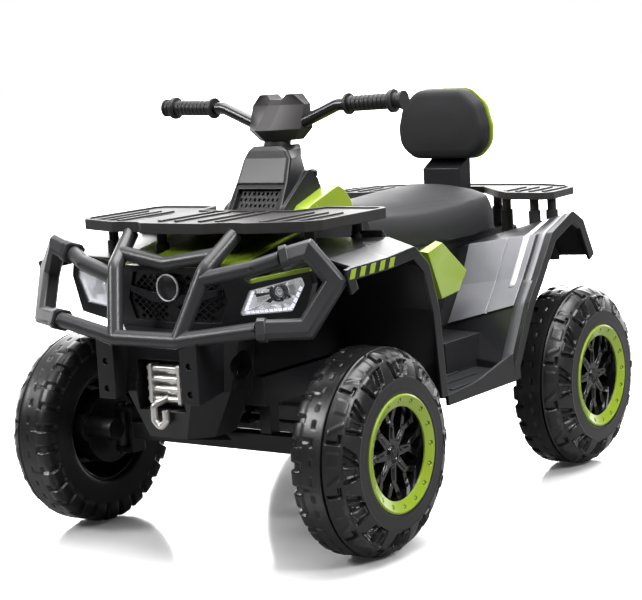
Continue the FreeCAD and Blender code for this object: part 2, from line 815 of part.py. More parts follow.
def knuckle():
    """Left knuckle: sleeve on the kingpin, stub axle, steering arm and ball pin, with its nut."""
    king = V(KING_X, FRONT_Y, AXLE_Z)
    reach = YOKE_HALF - GAP
    sleeve = rod(king - V(0, 0, reach), king + V(0, 0, reach), SLEEVE_R)
    root = rod(king, V(GEARBOX_X, FRONT_Y, AXLE_Z), AXLE_R * 2)
    stub = rod(king, V(AXLE_END, FRONT_Y, AXLE_Z), AXLE_R)
    tip = king + V(0, ARM_LEN, 0)
    low = ARM_TOP - ARM_T
    arm = box(king + V(-ARM_W / 2, 0, low), tip + V(ARM_W / 2, 0, ARM_TOP))
    arm_end = Part.makeCylinder(ARM_W / 2, ARM_T, tip + V(0, 0, low))
    ball = Part.makeCylinder(BALL_R, TIE_T + BALL_OVER, tip + V(0, 0, ARM_TOP))
    body = fused([sleeve, root, stub, arm, arm_end, ball])
    body = body.cut(rod(king - V(0, 0, reach), king + V(0, 0, reach), KING_R + RUN_FIT))
    return [biggest(body), hex_nut(NUT_X, FRONT_Y)]


def tie_rod():
    """Cross rod with an eye over each ball pin and a slotted plate under the column's lever."""
    low = TIE_Z - TIE_T / 2
    eye_hole = BALL_R + BALL_SLACK
    half = TIE_PLATE / 2
    middle = V(0, TIE_Y, TIE_Z)
    shapes = [box(V(-half, TIE_Y - half, low), V(half, TIE_Y + half, low + TIE_T))]
    shapes.append(rod(middle - V(KING_X, 0, 0), middle + V(KING_X, 0, 0), TIE_ROD_R))
    holes = []
    for hand in (1, -1):
        centre = V(hand * KING_X, TIE_Y, low)
        shapes.append(Part.makeCylinder(eye_hole + EYE_WALL, TIE_T, centre))
        holes.append(Part.makeCylinder(eye_hole, TIE_T, centre))
    slot_half = TIE_SLOT_LEN / 2
    slot_side = BALL_R + TIE_SLOT_PLAY
    holes.append(box(V(-slot_side, TIE_Y - slot_half, low), V(slot_side, TIE_Y + slot_half, low + TIE_T)))
    return biggest(fused(shapes).cut(holes))


def steering_column():
    """Inclined column with its lever and the pin that drives the tie rod."""
    top = AXLE_Z + POD_RISE + COLUMN_OVER
    length = (top - COLUMN_FOOT.z) / COLUMN_DIR.z
    shaft = rod(along_column(-COLUMN_TAIL), along_column(length), COLUMN_R)
    under = COLUMN_DIR * (-LEVER_T / 2)
    root = Part.makeCylinder(LEVER_ROOT_R, LEVER_T, COLUMN_FOOT + under, COLUMN_DIR)
    tip = Part.makeCylinder(LEVER_TIP_R, LEVER_T, LEVER_TIP + under, COLUMN_DIR)
    side = V(LEVER_TIP_R, 0, 0)
    base = COLUMN_FOOT + under
    end = LEVER_TIP + under
    blade = plate([base - side, base + side, end + side, end - side], COLUMN_DIR * LEVER_T)
    pin = rod(LEVER_TIP, LEVER_TIP - COLUMN_DIR * (COLUMN_DROP + TIE_T), BALL_R)
    return fused([shaft, root, tip, blade, pin])


# Central body

def column_hole(radius, low=-COLUMN_DROP, length=WHEELBASE):
    """Room around the steering column."""
    return rod(along_column(low), along_column(length), radius)


def chassis_tub():
    """Open trough that carries the axles, with the rear axle's hangers."""
    outer = from_wheel([(NOSE_BACK, DECK_RISE), (NOSE_BACK, FRONT_DECK_RISE), (TUB_FRONT_TOP, FRONT_DECK_RISE),
                        (TUB_FRONT_LOW, BELLY_RISE)], FRONT_Y)
    outer += from_wheel([(TUB_REAR_LOW, BELLY_RISE), (TUB_REAR_TOP, REAR_DECK_RISE),
                         (TAIL_BACK, REAR_DECK_RISE), (TAIL_BACK, DECK_RISE)], REAR_Y)
    inner = offset_path(outer, -BODY_WALL)
    body = plate(in_yz(outer, -TUB_HALF), V(2 * TUB_HALF, 0, 0))
    inside = TUB_HALF - BODY_WALL
    body = body.cut(plate(in_yz(inner, -inside), V(2 * inside, 0, 0)))
    hangers = []
    top = AXLE_Z + REAR_DECK_RISE
    for hand in (1, -1):
        outer_x = hand * TUB_HALF
        inner_x = hand * (TUB_HALF - HANGER_T)
        low_x, high_x = min(outer_x, inner_x), max(outer_x, inner_x)
        leg = box(V(low_x, REAR_Y - HANGER_HALF, AXLE_Z), V(high_x, REAR_Y + HANGER_HALF, top))
        leg_end = rod(V(low_x, REAR_Y, AXLE_Z), V(high_x, REAR_Y, AXLE_Z), HANGER_HALF)
        hangers.append(leg.fuse(leg_end))
    body = fused([body] + hangers)
    axle_hole = rod(V(-TUB_HALF, REAR_Y, AXLE_Z), V(TUB_HALF, REAR_Y, AXLE_Z), AXLE_R)
    return biggest(body.cut([axle_hole, column_hole(COLUMN_HOLE_R)]))


def spine_profile():
    """Side view of the upper body, from the nose over the tank to the tail."""
    def hood_under(back):
        share = (back - HOOD_FRONT) / (HOOD_BACK - HOOD_FRONT)
        return HOOD_FRONT_RISE + share * (HOOD_BACK_RISE - HOOD_FRONT_RISE) - HOOD_T

    profile = from_wheel([(NOSE_BACK, DECK_RISE), (NOSE_BACK, hood_under(NOSE_BACK)),
                          (HOOD_BACK, hood_under(HOOD_BACK)), (HOOD_BACK + TANK_STEP, TANK_RISE),
                          (SEAT_STEP_FRONT, TANK_RISE), (SEAT_STEP_BACK, SEAT_RISE)], FRONT_Y)
    return profile + from_wheel([(TAIL_BACK, SEAT_RISE), (TAIL_BACK, DECK_RISE)], REAR_Y)


def body_spine():
    """Hollow upper body with the tank hump, open below."""
    outer = spine_profile()
    inner = offset_path(outer, BODY_WALL)
    body = plate(in_yz(outer, -SPINE_HALF), V(2 * SPINE_HALF, 0, 0))
    inside = SPINE_HALF - BODY_WALL
    body = body.cut(plate(in_yz(inner, -inside), V(2 * inside, 0, 0)))
    hump = [(FRONT_Y + back, TANK_Z + up) for back, up in TANK_HUMP]
    body = body.fuse(plate(in_yz(hump, -TANK_HUMP_HALF), V(2 * TANK_HUMP_HALF, 0, 0)))
    return biggest(body.cut(column_hole(COLUMN_HOLE_R)))


def batteries():
    """Two sealed batteries side by side on the tub's floor."""
    floor = BELLY_Z + BODY_WALL
    low = V(GAP, BATTERY_Y, floor)
    cell = box(low, low + V(BATTERY_W, BATTERY_L, BATTERY_H))
    studs = []
    for share in STUD_SHARES:
        studs.append(Part.makeCylinder(STUD_R, STUD_H, low + V(BATTERY_W / 2, BATTERY_L * share, BATTERY_H)))
    return pair(fused([cell] + studs))


def control_box():
    """Electronics box on the rear deck."""
    width, length, height = CONTROL_SIZE
    low = V(-width / 2, REAR_Y - length / 2, AXLE_Z + REAR_DECK_RISE + BODY_WALL)
    return box(low, low + V(width, length, height))


def tail_panel():
    """Panel that closes the back of the body, with three pressed-in louvres."""
    low = from_wheel([(TAIL_BACK, REAR_DECK_RISE)], REAR_Y)[0]
    top = SEAT_Z - GAP
    half = TAIL_PANEL_HALF
    slope = half * TAIL_NARROW
    face = [(-slope, low[1]), (slope, low[1]), (half, DECK_Z), (slope, top), (-slope, top), (-half, DECK_Z)]
    panel = plate(in_xz(face, low[0]), V(0, TAIL_PANEL_T, 0), RACK_ROUND)
    depth = TAIL_PANEL_T / 2
    louvres = []
    for index in range(LOUVRES):
        level = DECK_Z + LOUVRE_RISE + index * LOUVRE_PITCH
        slot_low = V(-LOUVRE_HALF, low[0] + depth, level)
        louvres.append(box(slot_low, V(LOUVRE_HALF, low[0] + 2 * depth, level + LOUVRE_H)))
    return biggest(panel.cut(louvres))


# Fenders, side panels and footboards

def front_fender_path(x):
    """Side view of the left front fender's top at a distance from the middle, with its ridge line."""
    share = (x - SPINE_HALF) / (FENDER_X - SPINE_HALF)
    climb = (x - SPINE_HALF) / (FENDER_RIDGE_X - SPINE_HALF)
    fall = (FENDER_X - x) / (FENDER_X - FENDER_RIDGE_X)
    lift = FENDER_RIDGE_RISE * min(climb, fall)
    path = between(from_wheel(FRONT_FENDER_IN, FRONT_Y), from_wheel(FRONT_FENDER_OUT, FRONT_Y), share)
    top = path[1:4]
    return path[:1] + [(y, z + lift) for y, z in top] + path[4:]


def rear_fender_path(x):
    """Side view of the left rear fender's top at a distance from the middle."""
    share = (x - SPINE_HALF) / (FENDER_X - SPINE_HALF)
    return between(from_wheel(REAR_FENDER_IN, REAR_Y), from_wheel(REAR_FENDER_OUT, REAR_Y), share)


def fender(path_at, stations):
    """Left fender: a bent sheet from the body out to a deeper rim."""
    sheet = ruled([strip_wire(path_at(x), FENDER_T, x, FENDER_BEND) for x in stations])
    edges = (FENDER_X - FENDER_LIP_T, FENDER_X)
    lip = ruled([strip_wire(path_at(x), FENDER_LIP, x, 0.0, -FENDER_LIP_SINK) for x in edges])
    return fused([sheet, lip])


def fender_hump():
    """Raised rib at the back of the left front fender."""
    edges = (HUMP_IN_X, HUMP_OUT_X)
    rib = ruled([strip_wire(front_fender_path(x)[2:6], FENDER_T / 2, x, FENDER_BEND, HUMP_RISE) for x in edges])
    return rib.cut(box(V(0, 2 * FRONT_Y, 0), V(FENDER_X, FRONT_Y + HUMP_FRONT, 2 * SEAT_Z)))


def front_fender(neighbours):
    """Left front fender with its ridge and hump, cut back from what it meets."""
    sheet = fender(front_fender_path, (SPINE_HALF, FENDER_RIDGE_X, FENDER_X))
    return trimmed(fused([sheet, fender_hump()]), neighbours)


def rear_fender(neighbours):
    """Left rear fender, cut back from what it meets."""
    return trimmed(fender(rear_fender_path, (SPINE_HALF, FENDER_X)), neighbours)


def side_panel(fender_solid):
    """Left silver skin on the front of the rear fender, folded at mid height and grooved."""
    first, last = 2, 5
    wires = []
    for x in (SIDE_PANEL_IN_X, SIDE_PANEL_OUT_X):
        wires.append(strip_wire(rear_fender_path(x)[first:last], FENDER_T / 2, x, 0.0, SIDE_PANEL_T))
    skin = ruled(wires)
    groove_low = V(PANEL_GROOVE_X, FRONT_Y, 0)
    groove = box(groove_low, groove_low + V(PANEL_GROOVE_W, WHEELBASE, 2 * SEAT_Z))
    depth = ruled([wire.translated(V(0, SIDE_PANEL_T / 2, -SIDE_PANEL_T / 2)) for wire in wires])
    carved = skin.cut(groove.cut(depth))
    return trimmed(carved, [fender_solid])


def side_accent(neighbours):
    """Left green block between the seat and the footwell."""
    block = ruled([outline(in_yz(from_wheel(ACCENT_IN, REAR_Y), SPINE_HALF)),
                   outline(in_yz(from_wheel(ACCENT_OUT, REAR_Y), ACCENT_X - ACCENT_BEVEL)),
                   outline(in_yz(drawn_in(from_wheel(ACCENT_OUT, REAR_Y), ACCENT_SHRINK), ACCENT_X))])
    return trimmed(block, neighbours)


def footboard(neighbours, ribbed_to):
    """Left footboard: ribbed floor, outer skirt and the step block at the back."""
    front_y = FRONT_Y + FOOT_FRONT
    back_y = REAR_Y + STEP_BACK
    floor = box(V(TUB_HALF, front_y, FLOOR_Z - FOOT_T), V(FENDER_X, back_y, FLOOR_Z))
    skirt_low = AXLE_Z + SKIRT_LOW
    rear_y = REAR_Y + SKIRT_REAR
    skirt = [(front_y, skirt_low), (front_y, FLOOR_Z), (FRONT_Y + SKIRT_KNEE, FLOOR_Z + FOOT_T),
             (rear_y, AXLE_Z + SKIRT_REAR_RISE), (rear_y + SKIRT_RAKE, skirt_low)]
    shapes = [floor, plate(in_yz(skirt, FENDER_X - FOOT_T), V(FOOT_T, 0, 0))]
    step_x = TUB_HALF + STEP_HALF
    step_y = REAR_Y + STEP_FRONT
    step = [(TUB_HALF, step_y), (step_x, step_y), (step_x, back_y), (TUB_HALF, back_y)]
    small = [(min(x, step_x - STEP_ROUND), max(y, step_y + STEP_ROUND)) for x, y in step]
    shapes.append(ruled([outline(in_xy(step, FLOOR_Z - FOOT_T)), outline(in_xy(small, AXLE_Z + STEP_RISE))]))
    run = (ribbed_to - TUB_HALF) / TREAD_RIBS
    for index in range(TREAD_RIBS):
        low = V(TUB_HALF + run * (index + 0.5) - TREAD_RIB_W / 2, front_y + TREAD_RIB_START, FLOOR_Z)
        shapes.append(box(low, low + V(TREAD_RIB_W, TREAD_RIB_L, TREAD_RIB_H)))
    return trimmed(fused(shapes), neighbours)


# Nose

def fascia_y(x):
    """Front of the nose at a distance from the middle."""
    return FRONT_Y + FASCIA_FRONT + (FASCIA_SIDE - FASCIA_FRONT) * abs(x) / FASCIA_SIDE_X


def fascia_normal():
    """Outward direction of the nose's left face."""
    slope = (FASCIA_SIDE - FASCIA_FRONT) / FASCIA_SIDE_X
    return V(slope, -1, 0).normalize()


def on_fascia(points, sink=0.0):
    """Front-view points laid on the nose's left face, sunk by a depth."""
    inward = fascia_normal() * -sink
    return [V(x, fascia_y(x), AXLE_Z + up) + inward for x, up in points]


def grille_mesh():
    """V-shaped diamond mesh, two flat nets that meet at the middle."""
    inward = fascia_normal() * -1
    sheet = plate(on_fascia(GRILLE_OUTLINE, GRILLE_SINK), inward * GRILLE_T)
    low_up = min(up for x, up in GRILLE_OUTLINE)
    top_up = max(up for x, up in GRILLE_OUTLINE)
    wide = max(x for x, up in GRILLE_OUTLINE)
    half_x = GRILLE_PITCH / 2 - GRILLE_BAR / 2
    half_z = half_x * GRILLE_SQUASH
    step_z = GRILLE_PITCH * GRILLE_SQUASH / 2
    rows = int((top_up - low_up) / step_z)
    holes = []
    for row in range(1, rows):
        up = low_up + row * step_z
        shift = GRILLE_PITCH / 2 if row % 2 else 0.0
        columns = int(wide / GRILLE_PITCH)
        for column in range(columns + 1):
            x = column * GRILLE_PITCH + shift
            reach = wide * (GRILLE_WAIST + GRILLE_SWELL * math.sin(math.pi * row / rows))
            if x < half_x + GRILLE_BAR or x + half_x + GRILLE_BAR > reach:
                continue
            diamond = [(x - half_x, up), (x, up - half_z), (x + half_x, up), (x, up + half_z)]
            holes.append(plate(on_fascia(diamond, GRILLE_SINK - 1), inward * (GRILLE_T + 2)))
    half = sheet.cut(holes)
    half = half.common(box(V(0, 2 * FRONT_Y, 0), V(TRACK, 0, 2 * SEAT_Z)))
    return biggest(half.fuse(mirrored(half)).removeSplitter())


def headlight():
    """Left headlight: open reflector bowl and clear lens."""
    inward = fascia_normal() * -1
    lens = plate(on_fascia(LENS_OUTLINE), inward * LENS_T, LENS_ROUND)
    outer = plate(on_fascia(LENS_OUTLINE, LENS_T), inward * BOWL_DEPTH, LENS_ROUND)
    mouth = on_fascia(drawn_in(LENS_OUTLINE, BOWL_MOUTH), LENS_T)
    floor = on_fascia(drawn_in(LENS_OUTLINE, BOWL_FLOOR), LENS_T + BOWL_DEPTH - BOWL_WALL)
    hollow = ruled([outline(mouth, LENS_ROUND * BOWL_MOUTH), outline(floor, LENS_ROUND * BOWL_FLOOR)])
    return outer.cut(hollow), lens


def front_fascia():
    """V-nosed front panel with the grille pocket and the headlight sockets."""
    reach = FRONT_Y + NOSE_BACK
    wide = FASCIA_SIDE_X + BODY_WALL
    across = both_halves([(0, fascia_y(0)), (wide, fascia_y(wide)), (wide, reach)])
    plan = plate(in_xy(across, AXLE_Z), V(0, 0, 2 * AXLE_Z))
    face = [(x, AXLE_Z + up) for x, up in both_halves(FASCIA_OUTLINE)]
    block = plan.common(plate(in_xz(face, fascia_y(0)), V(0, reach - fascia_y(0), 0)))
    opening = [(x, AXLE_Z + up) for x, up in both_halves(GRILLE_OUTLINE)]
    pocket = plate(in_xz(opening, fascia_y(0)), V(0, GRILLE_DEPTH, 0))
    socket = plate(on_fascia(LENS_OUTLINE), fascia_normal() * -(LENS_T + BOWL_DEPTH), LENS_ROUND)
    return biggest(block.cut([pocket] + pair(socket)))


def nose_room():
    """Space in front of and inside the nose that the fenders keep out of."""
    top = min(up for x, up in FASCIA_OUTLINE[4:])
    return box(V(0, 2 * FRONT_Y, AXLE_Z), V(FASCIA_SIDE_X, FRONT_Y + NOSE_BACK, AXLE_Z + top))


def guard_room():
    """Space around the left corner guard that the fender keeps out of."""
    corner_back = max(back for x, back, up in GUARD)
    top = max(up for x, back, up in GUARD) + 2 * GUARD_R
    back = FRONT_Y + corner_back + GUARD_R + GAP
    return box(V(0, 2 * FRONT_Y, AXLE_Z), V(FENDER_X - FENDER_LIP_T, back, AXLE_Z + top))


def front_hood(neighbours):
    """Green hood over the nose and a brow strip above each headlight."""
    def section(back, rise):
        half = HOOD_HALF
        low = rise - HOOD_T
        top = rise + HOOD_BULGE
        side = [(half, low), (half, rise), (HOOD_BULGE_FOOT, rise), (HOOD_BULGE_TOP, top)]
        return outline([V(x, FRONT_Y + back, AXLE_Z + up) for x, up in both_halves(side)])

    hood = ruled([section(HOOD_FRONT, HOOD_FRONT_RISE), section(HOOD_BACK, HOOD_BACK_RISE)])
    (low_x, low_up), (high_x, high_up) = FASCIA_OUTLINE[5], FASCIA_OUTLINE[4]
    strip = [(low_x, low_up), (high_x, high_up), (high_x, high_up + BROW_T), (low_x, low_up + BROW_T)]
    brow = plate(on_fascia(strip), fascia_normal() * -BROW_DEPTH)
    return [trimmed(hood, neighbours)] + pair(trimmed(brow, neighbours))


def skid_nose():
    """Faceted lower nose with the winch bay, side recesses and the skid tongue under the axle."""
    wires = []
    for up, half, front, chamfer in NOSE_SECTIONS:
        front_y = FRONT_Y + front
        back_y = FRONT_Y + NOSE_BACK
        side = [(half - chamfer, front_y), (half, front_y + chamfer), (half, back_y)]
        wires.append(outline(in_xy(both_halves(side), AXLE_Z + up)))
    body = ruled(wires)
    bay_front = FRONT_Y + NOSE_SECTIONS[1][2]
    bay = box(V(-WINCH_BAY_HALF, bay_front - WINCH_BAY_DEPTH, AXLE_Z + WINCH_BAY_LOW),
              V(WINCH_BAY_HALF, bay_front + WINCH_BAY_DEPTH, AXLE_Z + WINCH_BAY_TOP))
    half = NOSE_SECTIONS[1][1]
    recess_at = V(half - NOSE_RECESS_DEPTH, FRONT_Y + NOSE_RECESS_BACK, AXLE_Z + NOSE_RECESS_RISE)
    recess = rod(recess_at, recess_at + V(NOSE_RECESS_DEPTH * 2, 0, 0), NOSE_RECESS_R)
    body = body.cut([bay, recess, mirrored(recess)])
    low_up, low_half, low_front, low_chamfer = NOSE_SECTIONS[0]
    path = from_wheel([(low_front, low_up), (NOSE_BACK, SKID_KNEE_RISE), (SKID_BACK, SKID_BACK_RISE)], FRONT_Y)
    tongue_half = low_half - low_chamfer
    path.append((FRONT_Y + NOSE_BACK, AXLE_Z + low_up))
    tongue = plate(in_yz(path, -tongue_half), V(2 * tongue_half, 0, 0))
    return biggest(fused([body, tongue]))


# Bumper and winch

def bumper_tubes(neighbours):
    """Welded tube frame: lower bar, hoops, cross bar and upper side tubes."""
    low_left = [place(point) for point in LOW_BAR]
    low_right = [V(-point.x, point.y, point.z) for point in low_left]
    shapes = [tube([low_right[1], low_right[0], low_left[0], low_left[1]], TUBE_R, TUBE_BEND * 2)]
    ends = [place(point) for point in CROSS_BAR]
    shapes.append(tube([V(-ends[0].x, ends[0].y, ends[0].z), ends[1], ends[0]], CROSS_BAR_R, TUBE_BEND))
    for path in (HOOP, UPPER_TUBE):
        shapes += pair(tube([place(point) for point in path], TUBE_R, TUBE_BEND))
    return trimmed(fused(shapes), neighbours)


def bumper_guard():
    """Left corner guard, an angular hoop that sleeves over both tube ends."""
    return tube([place(point) for point in GUARD], GUARD_R, GUARD_BEND)


def bumper_bracket(neighbours):
    """Left bracket from the skid nose out to the lower bar, with two sunk screw seats."""
    half = BRACKET_W / 2
    front = BRACKET_FRONT
    bar_back = LOW_BAR[0][1]
    side = from_wheel([(front, BRACKET_LOW), (front, LOW_BAR[0][2]), (bar_back + TUBE_R, LOW_BAR[0][2]),
                       (BRACKET_BACK, BRACKET_BACK_TOP), (BRACKET_BACK, BRACKET_LOW + BRACKET_TOE)], FRONT_Y)
    body = plate(in_yz(side, BRACKET_X - half), V(BRACKET_W, 0, 0))
    front_y = FRONT_Y + front
    seats = [rod(V(BRACKET_X, front_y, AXLE_Z + up), V(BRACKET_X, front_y + BRACKET_SCREW_DEPTH, AXLE_Z + up),
                 BRACKET_SCREW_R) for up in BRACKET_SCREWS]
    return trimmed(body.cut(seats), neighbours)


def winch(neighbours):
    """Fairlead with side plates, rollers and back plate, and the hook that hangs below it."""
    front_y = FRONT_Y + WINCH_FRONT
    back_y = front_y + WINCH_DEPTH
    low = AXLE_Z + WINCH_LOW
    top = AXLE_Z + WINCH_TOP
    side = [(front_y, low), (front_y, top), (back_y, top), (back_y, low)]
    cheek = plate(in_yz(side, WINCH_HALF - WINCH_PLATE_T), V(WINCH_PLATE_T, 0, 0), WINCH_ROUND)
    bay_back = FRONT_Y + NOSE_SECTIONS[1][2] + WINCH_BAY_DEPTH
    inset = WINCH_BACK_INSET
    back = box(V(-WINCH_HALF, back_y - inset, low + inset), V(WINCH_HALF, bay_back, top - inset))
    shapes = [back] + pair(cheek)
    step = (top - low) / ROLLER_COUNT
    reach = WINCH_HALF + ROLLER_REACH
    roller_y = front_y + ROLLER_R + ROLLER_SET
    for index in range(ROLLER_COUNT):
        centre = V(-reach, roller_y, low + step * (index + 0.5))
        shapes.append(rod(centre, centre + V(2 * reach, 0, 0), ROLLER_R))
    eye = V(0, roller_y, low + step / 2)
    shapes.append(tube([eye + V(*point) for point in HOOK], HOOK_WIRE_R, HOOK_BEND))
    return trimmed(fused(shapes), neighbours)


# Racks

def slot(x, y, low, height):
    """Fore-and-aft slot through a rack."""
    half = RACK_SLOT_W / 2
    run = RACK_SLOT_L / 2
    corners = [(x - half, y - run), (x + half, y - run), (x + half, y + run), (x - half, y + run)]
    return plate(in_xy(corners, low), V(0, 0, height), half * 0.98)


def rack(half_outline, wheel_y, rise, thick, slot_place, ridge_xs, ridge_run):
    """Load plate with a raised rim, long ridges and two fields of slots."""
    low = AXLE_Z + rise
    corners = [(x, wheel_y + y) for x, y in both_halves(half_outline)]
    radii = [RACK_ROUND if abs(x) > 1 else 0.0 for x, y in corners]
    body = plate(in_xy(corners, low), V(0, 0, thick), radii)
    depth = RACK_RIM_H / 2
    face = Part.Face(outline(in_xy(corners, low + thick - depth), radii))
    well = face.makeOffset2D(-RACK_RIM_W).extrude(V(0, 0, RACK_RIM_H))
    body = body.cut(well)
    start, end = ridge_run
    slots = []
    ridges = []
    for hand in (1, -1):
        for index in range(RACK_SLOTS):
            x = hand * (slot_place[0] + index * RACK_SLOT_PITCH)
            slots.append(slot(x, wheel_y + slot_place[1], low, thick))
        for x in ridge_xs:
            corner = V(hand * x - RACK_RIDGE_W / 2, wheel_y + start, low + thick - 2 * depth)
            ridges.append(box(corner, corner + V(RACK_RIDGE_W, end - start, 2 * depth)))
    return biggest(fused([body] + ridges).cut(slots))


def rack_posts(front_rack_low, rear_rack_low, front_below, rear_below):
    """Stepped posts that carry both racks, each standing on what is under it."""
    posts = []
    for places, wheel_y, top, below in ((FRONT_POSTS, FRONT_Y, front_rack_low, front_below),
                                        (REAR_POSTS, REAR_Y, rear_rack_low, rear_below)):
        for x, back in places:
            foot = V(x, wheel_y + back, SEAT_Z - POST_ROOT)
            neck = rod(foot, V(foot.x, foot.y, top), POST_R)
            sleeve = rod(foot, V(foot.x, foot.y, top - POST_NECK), POST_FOOT_R)
            pieces = fused([neck, sleeve]).cut(below).Solids
            upper = max(pieces, key=lambda solid: solid.CenterOfMass.z)
            posts += pair(upper)
    return posts


# Tower, pod and handlebar

def dash_tower(neighbours):
    """Steering tower: lofted cowl with side cheeks, vent pocket and the upper steering bush."""
    wires = []
    for up, half, front, back_half, back in TOWER_SECTIONS:
        corners = [(-half, front), (half, front), (back_half, back), (-back_half, back)]
        wires.append(outline([V(x, FRONT_Y + y, AXLE_Z + up) for x, y in corners], TOWER_ROUND))
    cowl = ruled(wires)
    cheek = plate(in_yz(from_wheel(CHEEK, FRONT_Y), CHEEK_IN_X), V(2 * CHEEK_IN_X, 0, 0))
    beside = [(section[1] + CHEEK_STEP, AXLE_Z + section[0]) for section in TOWER_SECTIONS]
    beside = in_xz([(0, beside[0][1])] + beside + [(0, beside[-1][1])], 2 * FRONT_Y)
    cheek = cheek.common(plate(beside, V(0, WHEELBASE + TRACK, 0)))
    body = fused([cowl] + pair(cheek))
    top_z = AXLE_Z + TOWER_SECTIONS[-1][0]
    top_run = (top_z - COLUMN_FOOT.z) / COLUMN_DIR.z
    cavity = column_hole(TOWER_CAVITY_R, -COLUMN_DROP, top_run - TOWER_BUSH_L)
    bush = column_hole(COLUMN_R + RUN_FIT)
    neck_seat = column_hole(NECK_R + NECK_GAP, top_run - NECK_SINK)
    visor = vent_block(VISOR_DEPTH, VISOR_MARGIN)
    return trimmed(body, [cavity, bush, neck_seat, visor, vent_block(VENT_DEPTH)] + neighbours)


def vent_block(depth, margin=0.0):
    """Space of the vent with a margin round it, pushed in from the tower's sloping front."""
    low_section, high_section = TOWER_SECTIONS[0], TOWER_SECTIONS[1]
    slope = (high_section[2] - low_section[2]) / (high_section[0] - low_section[0])
    half = VENT_HALF + margin / 2
    corners = []
    low, high = VENT_LOW - margin, VENT_TOP + margin
    for side, up in ((-1, low), (1, low), (1, high), (-1, high)):
        front = low_section[2] + slope * (up - low_section[0])
        corners.append(V(side * half, FRONT_Y + front, AXLE_Z + up))
    return plate(corners, V(0, depth, 0))


def tower_vent():
    """Perforated plate at the bottom of the vent pocket."""
    sheet = vent_block(VENT_DEPTH).cut(vent_block(VENT_DEPTH - VENT_T))
    holes = []
    columns = int(2 * VENT_HALF / VENT_PITCH)
    rows = int((VENT_TOP - VENT_LOW) / VENT_PITCH)
    for row in range(rows):
        up = AXLE_Z + VENT_LOW + (row + 0.5) * VENT_PITCH
        for column in range(columns - row % 2):
            x = -VENT_HALF + (column + 0.5 + 0.5 * (row % 2)) * VENT_PITCH + VENT_T
            start = V(x, FRONT_Y, up)
            holes.append(rod(start, start + V(0, WHEELBASE / 2, 0), VENT_HOLE_R))
    return biggest(sheet.cut(holes))


def tank_panel(neighbours):
    """Left green panel between the tower's cheek and the seat."""
    side = from_wheel(TANK_PANEL, FRONT_Y)
    block = ruled([outline(in_yz(side, TANK_PANEL_IN_X)),
                   outline(in_yz(side, TANK_PANEL_OUT_X - TANK_PANEL_BEVEL)),
                   outline(in_yz(drawn_in(side, TANK_PANEL_SHRINK), TANK_PANEL_OUT_X))])
    return trimmed(block, neighbours)


def cheek_slope():
    """Both ends of the sloping back of the tower's cheek."""
    (y0, z0), (y1, z1) = from_wheel(CHEEK[3:5], FRONT_Y)
    return V(BUTTON_X, y0, z0), V(BUTTON_X, y1, z1)


def button_place():
    """Foot of the push knob, on the sloping back of the left cheek."""
    upper, lower = cheek_slope()
    return upper + (lower - upper) * BUTTON_SHARE


def cheek_normal():
    """Outward direction of the cheek's sloping back."""
    upper, lower = cheek_slope()
    return V(0, upper.z - lower.z, lower.y - upper.y).normalize()


def power_button():
    """Push knob with a mushroom head."""
    out = cheek_normal()
    foot = button_place() + out * (BUTTON_TRAVEL + GAP)
    head = Part.makeCone(BUTTON_R, BUTTON_R - 2, BUTTON_H / 2, foot, out)
    stem = rod(foot, foot - out * BUTTON_H, BUTTON_R / 2)
    return fused([head, stem])


def button_socket():
    """Hole that guides the knob's stem."""
    out = cheek_normal()
    top = button_place() + out
    return rod(top, top - out * (BUTTON_H + BUTTON_TRAVEL + 2), BUTTON_R / 2 + RUN_FIT)


def bar_points():
    """Handlebar's middle line from right to left."""
    left = [place(point) for point in BAR_PATH]
    return [V(-point.x, point.y, point.z) for point in reversed(left)] + left


def handlebar():
    """Bent bar."""
    return tube(bar_points(), BAR_R, BAR_BEND)


def handlebar_grip(bar):
    """Left ribbed grip with its inner flange and closed end."""
    end = place(BAR_PATH[-1])
    along = (end - place(BAR_PATH[-2])).normalize()
    start = end - along * GRIP_L
    pitch = (GRIP_L - GRIP_FLANGE_T) / GRIP_RIBS
    tip = end + along * GRIP_END
    shapes = [rod(start, start + along * GRIP_FLANGE_T, GRIP_FLANGE_R),
              rod(start, tip, GRIP_R - GRIP_GROOVE),
              rod(end, tip, (GRIP_R + GRIP_FLANGE_R) / 2)]
    for index in range(GRIP_RIBS):
        low = start + along * (GRIP_FLANGE_T + pitch * (index + GRIP_GROOVE_SHARE))
        shapes.append(rod(low, low + along * (pitch * (1 - GRIP_GROOVE_SHARE)), GRIP_R))
    return biggest(fused(shapes).cut(bar))


def handlebar_pod(bar, column):
    """Beaked pod with a notch between two horns and the neck that turns on the tower."""
    base_z = AXLE_Z + POD_RISE
    axis_y = along_column((base_z - COLUMN_FOOT.z) / COLUMN_DIR.z).y
    wires = []
    for up, half in POD_SECTIONS:
        wires.append(outline([V(x, axis_y + back, base_z + up) for x, back in both_halves(half)]))
    notch = in_xz([(x, base_z + up) for x, up in both_halves(POD_NOTCH)], 2 * axis_y)
    body = ruled(wires).cut(plate(notch, V(0, -2 * axis_y, 0)))
    top_z = AXLE_Z + TOWER_SECTIONS[-1][0]
    neck_low = along_column((top_z - COLUMN_FOOT.z) / COLUMN_DIR.z - NECK_SINK + NECK_GAP)
    neck = rod(neck_low, along_column((base_z + POD_OVERLAP - COLUMN_FOOT.z) / COLUMN_DIR.z), NECK_R)
    return biggest(fused([body, neck]).cut([bar, column]))


# Seat and backrest

